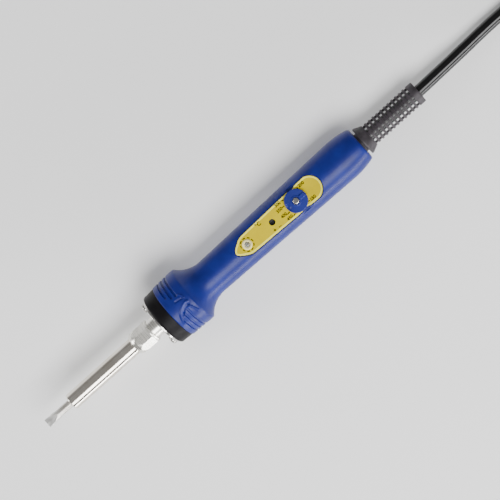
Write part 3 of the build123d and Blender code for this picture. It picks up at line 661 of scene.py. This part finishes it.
def grip_radius(x):
    """The grip's outer radius: flare, swept waist, long swell and tail."""
    flare = FLARE_FRONT_R + 0.4 * (x - GRIP_FRONT) / 15.0
    swept = SWEEP_CENTRE_R - np.sqrt(np.clip(SWEEP_R**2 - (WAIST_X - x) ** 2, 0, None))
    swell = WAIST_R + SWELL * (x - WAIST_X) / SWELL_RUN
    past = np.clip(x - TAIL_X, 0, None)
    tail = TAIL_R - 0.0091 * past - 0.0093 * past**2
    front = smooth_minimum(flare, swept, 0.9)
    return np.where(x < WAIST_X, front, np.where(x < TAIL_X, swell, tail))


def panel_height(x):
    """The panel's surface: flat, then a ramp that rises to meet the grip in front."""
    ramp = PANEL_LEVEL + PANEL_RAMP_R - np.sqrt(
        np.clip(PANEL_RAMP_R**2 - np.clip(PANEL_RAMP - x, 0, PANEL_RAMP_RUN) ** 2, 0, None)
    )
    return ramp + PANEL_NOSE_SLOPE * np.clip(PANEL_RAMP - PANEL_RAMP_RUN - x, 0, None)


def panel_half_width(x):
    """Half the panel's width where its surface meets the grip, and how slanted its edge is."""
    def cut(at):
        return np.sqrt(np.clip(grip_radius(at) ** 2 - panel_height(at) ** 2, 1e-6, None))
    width = cut(x)
    slope = (cut(x + 0.01) - cut(x - 0.01)) / 0.02
    slope = np.where(x > PANEL_APEX + 0.02, np.clip(slope, -3, 3), 3.0)
    return np.where(x < PANEL_APEX, 0.0, width), np.sqrt(1 + slope**2)


def panel_offset(x, distance):
    """Half the panel's width with its edge moved outwards by a distance."""
    width, slant = panel_half_width(x)
    front = width + distance * slant
    past_end = np.clip(x - PANEL_END, 0, None)
    rear = np.sqrt(np.clip((PANEL_END_R + distance) ** 2 - past_end**2, 0, None))
    return np.clip(np.where(x < PANEL_APEX, 0.0, np.minimum(front, rear)), 0, None)


def panel_distance(x, y):
    """How far a point lies outside the panel's edge, negative within it."""
    width, slant = panel_half_width(x)
    side = (np.abs(y) - width) / slant
    front = np.hypot(np.clip(PANEL_APEX - x, 0, None), y)
    side = np.where(x < PANEL_APEX, front, side)
    rear = np.hypot(np.clip(x - PANEL_END, 0, None), y) - PANEL_END_R
    return np.where(x > PANEL_END, np.maximum(side, rear), side)


# Ring grooves: place, and the degrees from the top at which each stops on either side.
GROOVES = [(11.8, 25.0, 25.0), (14.5, 17.0, 13.0), (17.2, 15.0, 11.0)]
GROOVE_DEPTH, GROOVE_HALF_WIDTH, GROOVE_WALL, GROOVE_RUNOUT = 0.85, 0.72, 0.35, 4.0
# Styling lines on the flare's top: a path in plan, its half-width, and its height or depth.
STYLE_LINES = [
    ([(10.7, -9.4), (11.3, -6.6), (12.9, -3.6), (16.0, -1.4), (19.3, -0.45), (20.4, -1.0)],
     1.0, 0.6),
    ([(13.4, -5.6), (16.2, -3.2), (19.8, -2.75)], 0.8, -0.45),
    ([(19.3, -3.4), (20.5, -5.6), (21.5, -8.5)], 0.8, 0.5),
    ([(14.9, 2.75), (18.7, 2.1)], 0.9, -0.5),
    ([(18.7, 4.9), (20.1, 3.3), (20.1, 2.0)], 0.7, 0.45),
]


def distance_to_path(x, y, path):
    """Distance in plan from points to a smooth line through the path's places."""
    places = np.array(path)
    knots = np.arange(len(places))
    fine = np.linspace(0, len(places) - 1, 6 * len(places))
    path = np.stack([np.interp(fine, knots, places[:, axis]) for axis in (0, 1)], axis=1)
    for _ in range(6):
        path[1:-1] = (path[:-2] + 2 * path[1:-1] + path[2:]) / 4
    nearest = np.full(np.shape(x), 99.0)
    for (x0, y0), (x1, y1) in zip(path, path[1:]):
        length = (x1 - x0) ** 2 + (y1 - y0) ** 2
        share = np.clip(((x - x0) * (x1 - x0) + (y - y0) * (y1 - y0)) / length, 0, 1)
        away = np.hypot(x - x0 - share * (x1 - x0), y - y0 - share * (y1 - y0))
        nearest = np.minimum(nearest, away)
    return nearest


def flare_relief(x, angle):
    """Ring grooves that stop beside a smooth land, and the raised lines across it."""
    relief = np.zeros(np.shape(x))
    degrees = np.degrees(angle)
    for place, stop_plus, stop_minus in GROOVES:
        across = smooth_step((GROOVE_HALF_WIDTH - np.abs(x - place)) / GROOVE_WALL)
        past_stop = np.where(degrees > 0, degrees - stop_plus, -degrees - stop_minus)
        relief -= GROOVE_DEPTH * across * smooth_step(past_stop / GROOVE_RUNOUT)
    on_top = np.cos(angle) > 0.2
    y = FLARE_SURFACE_R * np.sin(angle)
    for path, half_width, height in STYLE_LINES:
        off = distance_to_path(x, y, path) / half_width
        relief += np.where(on_top, height * np.clip(1 - off**2, 0, 1) ** 2, 0.0)
    return relief


def grip_rows():
    """Places along the grip, close together where its surface has detail."""
    apex = PANEL_APEX + 0.211 * np.linspace(0.0, 4.5, 20) ** 2
    rear = PANEL_END + PANEL_END_R * np.sin(np.radians(np.linspace(5, 90, 20)))
    rows = np.unique(np.concatenate([
        [8.0, 8.1, 8.25, 8.4], np.arange(8.6, 25.0, 0.22), np.arange(25.0, 37.0, 0.5),
        np.arange(37.0, 54.0, 1.0), [54.5, 55.2, 55.7, 55.95], apex, np.arange(61.0, 95.2, 1.0),
        np.arange(95.4, 108.2, 0.15), [108.7, 109.4, 110.0], rear, [117.7, 117.85, 118.1, 118.6],
        np.arange(119.5, 133.0, 1.2), np.arange(133.0, 145.6, 0.7),
    ]))
    return rows[np.diff(rows, prepend=0) > 0.09]


EDGE_OFFSETS = (-0.6, -0.3, -0.06, -0.03, 0.0, 0.05, 0.12, 0.22, 0.4, 0.7)
FIELD_COLUMNS = 7
SIDE_COLUMNS = 120
FLAT_FRONT, FLAT_REAR, FLAT_HEIGHT = 50.0, 126.0, 7.3


def grip_columns(x, radius):
    """Angles from +Z round one side, following the panel's edge and then spreading out."""
    steps = len(EDGE_OFFSETS) + FIELD_COLUMNS
    inner = panel_offset(x, EDGE_OFFSETS[0])
    widths = [inner * step / FIELD_COLUMNS for step in range(FIELD_COLUMNS)]
    beside = np.clip(x, PANEL_APEX + 0.03, PANEL_END + PANEL_END_R)
    widths += [panel_offset(beside if offset > 0 else x, offset) for offset in EDGE_OFFSETS]
    least = 0.04 * np.arange(steps) / steps
    widths = np.maximum.accumulate(np.maximum(np.array(widths), least))
    start = np.arcsin(np.clip(widths / radius, 0, 0.95))
    share = np.linspace(0, 1, SIDE_COLUMNS + 2)[1:-1] ** 1.6
    return np.concatenate([start, start[-1] + (math.pi - start[-1]) * share])


def grip_surface(x, angle, radius):
    """Height of the grip along each angle, with the panel's pocket and the finger notches."""
    at = np.full_like(angle, x)
    if x < FLARE_REAR:
        radius = radius + flare_relief(at, angle)
    y, z = radius * np.sin(angle), radius * np.cos(angle)
    top = np.abs(angle) < math.radians(70)
    outside = panel_distance(at, y)
    drop = POCKET_RIM_R * (1 - np.sqrt(1 - np.clip(1 - outside / POCKET_RIM_R, 0, 1) ** 2))
    z = np.where(top & (outside >= 0), z - drop, z)
    pocket = top & (outside < -0.02)
    z = np.where(pocket, panel_height(at) - POCKET_DEPTH, z)
    notch_x, notch_y, notch_r, notch_floor = NOTCH
    inside = notch_r - np.hypot(x - notch_x, np.abs(y) - notch_y)
    scallop = z + (np.minimum(z, notch_floor) - z) * smooth_step(inside / NOTCH_BLEND)
    return row_at(x, y, np.where(top, scallop, z))


def make_grip():
    """The one-piece grip with its pocket, notches, styling and hollow inside."""
    rows = []
    for x in grip_rows():
        radius = float(grip_radius(x)) - 0.3 * max(0.0, 1 - (x - GRIP_FRONT) / 0.3)
        side = grip_columns(x, radius)
        angles = np.concatenate([side, [math.pi], -side[:0:-1]])
        rows.append(grip_surface(x, angles, radius))
    for turn in np.linspace(0, math.pi / 2, 6)[1:]:
        radius = float(grip_radius(TAIL_EDGE_X)) - 0.35 * math.sin(turn) - (1 - math.cos(turn))
        rows.append(grip_surface(TAIL_EDGE_X + math.sin(turn), angles, radius))
    # The bore from the rear, with a flat under the panel.
    inside = [(GRIP_REAR, 6.0), (GRIP_REAR - 0.2, 5.85), (143.0, 5.85), (143.0, 8.4),
              (FLAT_REAR + 0.2, 8.4), (FLAT_REAR, 8.4), (FLAT_FRONT, 8.4), (FLAT_FRONT - 0.2, 8.4),
              (32.0, 8.4), (20.0, 14.0), (8.3, 14.0), (GRIP_FRONT, 14.3)]
    for x, radius in inside:
        flat = FLAT_HEIGHT / np.clip(np.cos(angles), 1e-3, None)
        flattened = (np.cos(angles) > 0) & (FLAT_FRONT <= x <= FLAT_REAR)
        reach = np.where(flattened, np.minimum(radius, flat), radius)
        rows.append(row_at(x, reach * np.sin(angles), reach * np.cos(angles)))
    grip = lofted_piece("handle_grip", rows, "handle_plastic", ["handle_shell"])
    combine(grip, [post_cutter(x, radius, 6.0, 8.75)
                   for x, radius in ((TRIMMER_X, 1.8), (LAMP_X, 1.55), (DIAL_X, 1.6))], 32.0)


# ---- Panel ----
PLATE_GAP = -0.42
PLATE_END_R = PANEL_END_R + PLATE_GAP
PLATE_TOP_DROP, PLATE_UNDER_DROP, PLATE_BEVEL = 0.02, 0.78, 0.12
STEEPEST_EDGE = 3.0
BORDER_STEPS = (0.0, 0.05, 0.12, 0.45, 0.6, 0.95, 1.05, 1.2, 1.5)
FIELD_STEPS = 6


def plate_half_width(x):
    """Half the plate's width, and that width without its notches."""
    notch_x, notch_y, notch_r, _ = NOTCH
    clear = notch_y - np.sqrt(np.clip((notch_r + 0.2) ** 2 - (x - notch_x) ** 2, 0, None))
    full = panel_offset(x, PLATE_GAP)
    return np.where(np.abs(x - notch_x) < notch_r, np.minimum(full, clear), full), full


def inward(x, y, half_width):
    """How far points lie in from the plate's edge."""
    slant = np.minimum(panel_half_width(x)[1], STEEPEST_EDGE)
    rear = PLATE_END_R - np.hypot(np.clip(x - PANEL_END, 0, None), y)
    return np.minimum((half_width - np.abs(y)) / slant, rear)


def mark_border(mesh):
    """Give the plate's points their distance in from its unnotched edge, for the printed line."""
    bench = np.array([vertex.co[:] for vertex in mesh.vertices])
    x, y, _ = ((bench - TOOL_ORIGIN) @ TOOL_AXES.T / MM).T
    edge = mesh.attributes.new("edge_mm", "FLOAT", "POINT")
    edge.data.foreach_set("value", inward(x, y, plate_half_width(x)[1]).astype(np.float32))


def make_panel():
    """The yellow plate, flat with a ramped nose, notched beside the dial."""
    along = np.unique(np.concatenate([
        PANEL_APEX + 0.211 * np.linspace(1.0, 4.5, 26) ** 2, np.arange(61.0, 96.0, 0.8),
        np.arange(96.0, 108.0, 0.25), [108.6, 109.3, 110.0],
        PANEL_END + PLATE_END_R * np.sin(np.radians(np.linspace(3, 88, 30))),
    ]))
    rows = []
    for x in along[plate_half_width(along)[0] > 0.15]:
        width = float(plate_half_width(x)[0])
        slant = min(float(panel_half_width(x)[1]), STEEPEST_EDGE)
        border = slant * min(1.0, width / (1.8 * slant))
        half = [width - step * border for step in BORDER_STEPS]
        half += [half[-1] * step / FIELD_STEPS for step in range(FIELD_STEPS - 1, -1, -1)]
        y = np.array(half + [-value for value in reversed(half[:-1])])
        bevel = PLATE_BEVEL * np.clip(1 - inward(x, y, width) / PLATE_BEVEL, 0, 1) ** 2
        surface_z = float(panel_height(x))
        z = np.append(surface_z - PLATE_TOP_DROP - bevel, [surface_z - PLATE_UNDER_DROP] * 2)
        rows.append(row_at(x, np.append(y, [-width, width]), z))
    faces = ring_faces(len(rows), len(rows[0]), "capped")
    panel = mesh_object("dial_panel", on_bench(np.concatenate(rows)), faces)
    combine(panel, [post_cutter(TRIMMER_X, 1.8, 8.0, 10.0), post_cutter(DIAL_X, 1.6, 8.0, 10.0),
                    post_cutter(LAMP_X, 1.52, 8.0, 10.5)], 25.0)
    mark_border(panel.data)
    dress(panel, "panel_yellow", ["panel_plate"], sharp=25.0)


PRINT_LIFT = 0.012
STRIP_SINK, STRIP_LIFT = 0.01, 0.02
RING_DASHES, RING_R, DASH_HALF_TURN = 9, 3.7, 0.21
LABELS = [("300", 91.3, 5.3), ("350", 90.0, 2.2), ("400", 90.0, -1.6), ("450", 91.7, -4.7),
          ("200", 108.2, 4.95), ("550", 108.2, -4.95), ("°C", 76.0, 4.2), ("+  –", 82.7, -4.4)]
LEADERS = [((91.7, 2.35), (93.6, 2.2)), ((91.7, -2.35), (93.6, -2.2)),
           ((93.7, 5.6), (95.6, 4.7)), ((93.7, -5.4), (95.6, -4.7)),
           ((105.9, 4.7), (104.9, 4.6)), ((105.9, -4.7), (104.9, -4.6))]


def printed_text(words, x, y, size):
    """A printed word lying on the panel, as points and faces in the tool's frame."""
    curve = bpy.data.curves.new("label", "FONT")
    curve.body = words
    curve.size = size
    curve.offset = 0.06
    curve.extrude = 0.01
    curve.align_x = "CENTER"
    curve.align_y = "CENTER"
    label = put_in_scene("label", curve)
    bpy.context.view_layer.update()
    graph = bpy.context.evaluated_depsgraph_get()
    mesh = bpy.data.meshes.new_from_object(label.evaluated_get(graph))
    local = np.array([vertex.co for vertex in mesh.vertices])
    faces = [tuple(polygon.vertices) for polygon in mesh.polygons]
    bpy.data.objects.remove(label)
    return local + np.array([x, y, PANEL_LEVEL + PRINT_LIFT]), faces


def printed_strip(path, width):
    """A printed line along points in plan, following the panel's surface."""
    path = np.array(path, float)
    heading = np.gradient(path, axis=0)
    heading /= np.linalg.norm(heading, axis=1)[:, None]
    side = np.stack([-heading[:, 1], heading[:, 0]], axis=1) * width / 2
    rows = []
    for point, out in zip(path, side):
        level = float(panel_height(point[0]))
        under, over = level - STRIP_SINK, level + STRIP_LIFT
        left, right = point + out, point - out
        rows += [(*left, under), (*left, over), (*right, over), (*right, under)]
    return np.array(rows), ring_faces(len(path), 4, "capped")


def make_print():
    """Temperatures round the dial, their leaders, and a dashed ring round the lamp."""
    pieces = [printed_text(words, x, y, 2.5 if words[0].isdigit() else 3.2)
              for words, x, y in LABELS]
    pieces += [printed_strip(ends, 0.5) for ends in LEADERS]
    for centre in circle(RING_DASHES):
        angles = np.linspace(centre - DASH_HALF_TURN, centre + DASH_HALF_TURN, 7)
        path = np.stack([LAMP_X + RING_R * np.cos(angles), RING_R * np.sin(angles)], axis=1)
        pieces.append(printed_strip(path, 0.55))
    points, faces = [], []
    for local, local_faces in pieces:
        start = sum(len(block) for block in points)
        points.append(local)
        faces += [tuple(start + index for index in face) for face in local_faces]
    place_piece("panel_print", on_bench(np.concatenate(points)), faces, "print_ink")


# ---- Dial, lamp and screws ----
DIAL_R, DIAL_ROUNDING, DIAL_TOP = 6.25, 0.35, 11.4
SCOOP_X, SCOOP_TOP, SCOOP_R = -6.4, 14.0, 3.6
FLUTES, FLUTE_DEPTH = 48, 0.03


def make_dial():
    """The dial: raised bar, rim round the lock screw, index scoop and fluted side."""
    angles = circle(288)
    rows = []

    def add_row(radius, level):
        x, y = DIAL_X + radius * np.cos(angles), radius * np.sin(angles)
        rows.append(np.stack([x, y, level * np.ones(len(angles))], axis=1))

    inner, middle = np.linspace(1.0, 2.4, 12), np.linspace(2.5, 3.2, 8)
    for radius in [*inner, *middle, *np.linspace(3.3, DIAL_R, 36)]:
        x, y = radius * np.cos(angles), radius * np.sin(angles)
        bar = smooth_step((1.35 - np.abs(y)) / 0.45) * smooth_step((6.2 - x) / 0.4)
        bar = bar * smooth_step((x - 2.2) / 0.3)
        boss = smooth_step((3.0 - radius) / 0.25)
        level = DIAL_TOP + np.maximum(0.8 * bar, 0.35 * boss) if radius >= 2.25 else 11.15
        off_scoop = (x - SCOOP_X) ** 2 + y**2
        scoop = SCOOP_TOP - np.sqrt(np.clip(SCOOP_R**2 - off_scoop, 0, None))
        level = np.minimum(level, np.where(off_scoop < SCOOP_R**2, scoop, 99.0))
        add_row(radius, level)
    flute = FLUTE_DEPTH * np.cos(FLUTES * angles)
    for turn in np.linspace(0, math.pi / 2, 6)[1:]:
        radius = DIAL_R + DIAL_ROUNDING * math.sin(turn) + flute * math.sin(turn)
        add_row(radius, level - DIAL_ROUNDING * (1 - math.cos(turn)))
    for radius, under in ((6.55 + flute, 9.65), (6.4, 9.5), (1.55, 9.5), (1.55, 10.5), (1.0, 10.5)):
        add_row(radius, under)
    lofted_piece("temperature_dial", rows, "dial_plastic", ["dial_knob"], body="dial", sharp=30.0)


def make_lock_screw():
    """The dial's lock screw: a domed head with a hexagon socket."""
    outline = [(7.6, 0), (7.6, 0.95), (11.2, 0.95), (11.2, 1.7), (11.3, 1.8)]
    outline += [(11.75 + 0.45 * math.sin(t), 1.35 + 0.45 * math.cos(t))
                for t in np.linspace(0, 1.57, 6)]
    outline += [(12.2, 0)]
    screw = turned_piece("dial_lock", outline, "screw_steel", ["dial_lock_screw"], 64, DIAL_X,
                         body="dial_lock")
    combine(screw, [post_cutter(DIAL_X, 0.75, 11.5, 13.0, 6)], 30.0)


def make_lamp():
    """The lamp's ring and its clear dome."""
    ring = rounded((8.7, 1.52), (8.7, 2.9), (9.75, 2.9, 0.3), (9.9, 2.2, 0.2), (9.6, 1.52, 0.15))
    turned_piece("lamp_ring", ring, "bezel_plastic", ["lamp_bezel"], 72, LAMP_X)
    dome = [(7.3, 0), (7.3, 1.4), (7.4, 1.5), (9.4, 1.5)]
    dome += [(9.4 + 1.15 * math.sin(t), 1.5 * math.cos(t))
             for t in np.linspace(0.1, math.pi / 2, 10)]
    turned_piece("lamp_dome", dome, "lens_clear", ["lamp_lens"], 48, LAMP_X)


SCREW_SEAT, SCREW_OFFSET = -1.9, 11.4
RECESS = (1.4, 0.28)


def make_flange_screws():
    """Two pan-head screws with cross recesses."""
    seat = SCREW_SEAT
    head = [(seat - 2.1, 0), (seat - 2.1, 1.2)]
    head += [(seat - 0.9 - 1.2 * math.cos(t), 1.2 + 1.5 * math.sin(t))
             for t in np.linspace(0.1, 1.57, 8)]
    head += [(seat - 0.15, 2.75), (seat, 2.6), (seat, 1.45), (15.4, 1.45), (16.0, 0.9), (16.0, 0)]
    points, faces = turned(head, 64)
    for centre, name in ((SCREW_OFFSET, "left"), (-SCREW_OFFSET, "right")):
        screw = place_piece("flange_screw_" + name, on_bench(points + [0, centre, 0]), faces,
                            "screw_steel", ["flange_screws"])
        combine(screw, [box_cutter((seat - 3, centre - y, -z), (seat - 1.1, centre + y, z))
                        for y, z in (RECESS, RECESS[::-1])], 30.0)


# ---- Working end ----
TIP_FRONT, WEDGE_REAR = -87.7, -77


def make_tip():
    """The chisel tip: a round shaft cut by two flats, and the wide bored body behind it."""
    angles = circle(120)
    rows = []
    outline = [(TIP_FRONT, 2.35), (-87.6, 2.5), (-87.4, 2.6)]
    outline += [(x, 2.6 - 0.3 * smooth_step((x + 84) / 6.0))
                for x in np.linspace(-87, WEDGE_REAR, 40)]
    outline += [(-72, 2.3), (-68.5, 2.3), (-68.2, 2.5), (-68.1, 4.1), (-67.9, 4.3), (-26.2, 4.3),
                (-26.0, 4.1), (-26.0, 2.1), (-64.5, 2.05), (-65.4, 0.0)]
    for x, radius in outline:
        wedge = 0.5 + 1.8 * (x - TIP_FRONT) / 8.0 if x < WEDGE_REAR else radius
        flat = min(wedge - 0.25 * max(0.0, 1 - (x - TIP_FRONT) / 0.3), radius)
        y, z = radius * np.cos(angles), np.clip(radius * np.sin(angles), -flat, flat)
        rows.append(row_at(x, y, z))
    faces = ring_faces(len(rows), len(angles), "open")
    faces.append(tuple(range(len(angles))))
    place_piece("chisel_tip", on_bench(np.concatenate(rows)), faces, "tip_plating",
                ["soldering_tip"], body="tip", sharp=24.0)


def make_pipe():
    outline = rounded((-69.0, 2.4), (-69.0, 5.0, 0.6), (-21.2, 5.0, 0.1), (-21.2, 4.8),
                      (-13.5, 4.8), (-13.5, 5.6, 0.2), (-12.05, 5.6, 0.2), (-12.05, 4.4),
                      (-68.2, 4.4), (-68.2, 2.4))
    turned_piece("barrel_pipe", outline, "pipe_steel", ["enclosure_pipe"], 128, body="barrel")


NUT_FLATS, NUT_SIDES = 13.6, 8
NOSE_REAR, NOSE_R = -20.75, 5.6
THREAD_START, THREAD_PITCH, THREADS = -11.3, 0.4, 9


def make_nut():
    """An eight-sided nut with a rounded nose and a chamfered rear rim."""
    half_side = math.pi / NUT_SIDES
    angles = circle(NUT_SIDES * 18) + half_side
    prism = NUT_FLATS / 2 / np.cos((angles + half_side) % (2 * half_side) - half_side)
    nose = [(-20.9, 5.0), (-20.9, 5.35), (NOSE_REAR, NOSE_R)]
    nose += [(x, NOSE_R + 1.76 * math.sqrt((x - NOSE_REAR) / 4.65))
             for x in np.linspace(-20.6, -16.1, 16)]
    body = [(-15.0, 9.0), (-9.1, 9.0), (-8.95, 6.55), (-8.7, 6.5), (-8.6, 7.1), (-8.4, 7.2),
            (-7.9, 7.15), (-7.7, 6.9)]
    bore = [(-7.7, 5.7), (-13.55, 5.65), (-13.55, 4.9), (-20.8, 4.9)]
    rows = []
    for x, radius in nose + body + bore:
        if radius > 5.65:
            radius = smooth_minimum(radius, prism, 0.12)
        rows.append(row_at(x, radius * np.cos(angles), radius * np.sin(angles)))
    lofted_piece("coned_nut", rows, "nut_plating", ["union_nut"], body="nut", sharp=16.0)


def make_neck():
    """The nipple, the flange plate and the dark front ring."""
    thread = [(-11.9, 4.3), (-11.9, 5.2), (-11.5, 5.6)]
    for turn in range(THREADS):
        start = THREAD_START + THREAD_PITCH * turn
        thread += [(start, 5.6), (start + 0.15, 5.35), (start + 0.3, 5.6)]
    thread += [(-7.55, 5.6), (-7.55, 5.75), (-7.4, 5.9), (-1.5, 5.9), (-1.2, 6.1), (-1.2, 5.2),
               (0, 5.2), (0, 6.3), (1.0, 6.3), (1.0, 4.3)]
    turned_piece("threaded_nipple", thread, "nut_plating", ["nipple"])
    plate = rounded((-1.2, 5.2), (-1.2, 14.6, 0.35), (0, 14.6, 0.15), (0, 5.2))
    turned_piece("flange_disc", plate, "plate_steel", ["flange_plate"], 128)
    ring = rounded((0, 6.6), (0, 16.2, 1.6), (7.75, 16.58, 0.1), (8.0, 16.3), (8.0, 14.0),
                   (2.6, 14.0), (2.6, 6.6), steps=9)
    turned_piece("front_collar", ring, "ring_plastic", ["front_ring"], 160)


# ---- Strain relief ----
FIRST_RUNG, RUNG_PITCH, RUNGS = 154.7, 2.72, 11


def web_bar(angle):
    """One lengthwise bar of the strain relief."""
    section = rounded((-1.1, 4.7), (-1.1, 5.9, 0.3), (1.1, 5.9, 0.3), (1.1, 4.7), steps=4)
    sine, cosine = math.sin(angle), math.cos(angle)
    points = [(x, out * sine + across * cosine, out * cosine - across * sine)
              for x in (152.0, 187.0) for across, out in section]
    return tool_mesh(points, ring_faces(2, len(section), "capped"))


def make_strain_relief():
    """Flange, rings and webs moulded in one: a ladder round the cord."""
    flange = rounded((140.3, 3.6), (140.3, 7.4, 0.3), (143.0, 7.4, 0.2), (143.0, 5.8),
                     (148.0, 5.8, 0.3), (148.0, 8.6, 0.4), (148.9, 8.6, 0.4), (152.7, 6.9, 0.3),
                     (153.3, 6.6, 0.2), (153.3, 4.9), (151.0, 3.6))
    relief = turned_piece("strain_relief", flange, "bushing_rubber", ["cord_bushing"])
    parts = [web_bar(math.radians(10 + 90 * quarter)) for quarter in range(4)]
    rings = [[(x, 4.9, 0.15), (x + 0.05, 6.55, 0.3), (x + 1.37, 6.55, 0.3), (x + 1.42, 4.9, 0.15)]
             for x in (FIRST_RUNG + RUNG_PITCH * index for index in range(RUNGS))]
    rings.append([(184.62, 4.9), (184.62, 6.55, 0.3), (188.7, 6.55, 0.5), (188.7, 3.6, 0.2),
                  (186.3, 3.6), (186.1, 4.9)])
    parts += [tool_mesh(*turned(rounded(*ring, steps=4), 64)) for ring in rings]
    combine(relief, parts, 32.0, "UNION")


# ---- Scene ----
def make_floor():
    bpy.ops.mesh.primitive_grid_add(x_subdivisions=8, y_subdivisions=8, size=6.0)
    floor = bpy.context.object
    floor.name = "studio_floor"
    floor.data.materials.append(floor_material())


def paint_cad_nodes():
    """Every CAD node takes the material of its slot."""
    for part in frame["record"]["subparts"]:
        node, slot = frame["nodes"][part["node"]], part["material_slot"]
        node.data.materials.clear()
        node.data.materials.append(MATERIALS[slot])


make_camera()
make_cord([strap(), plug_moulding(), "plug_blades", "plug_earth_pin"])
make_floor()
light_the_studio()
paint_cad_nodes()
for make in (make_grip, make_panel, make_print, make_dial, make_lock_screw, make_lamp,
             make_flange_screws, make_tip, make_pipe, make_nut, make_neck, make_strain_relief):
    make()
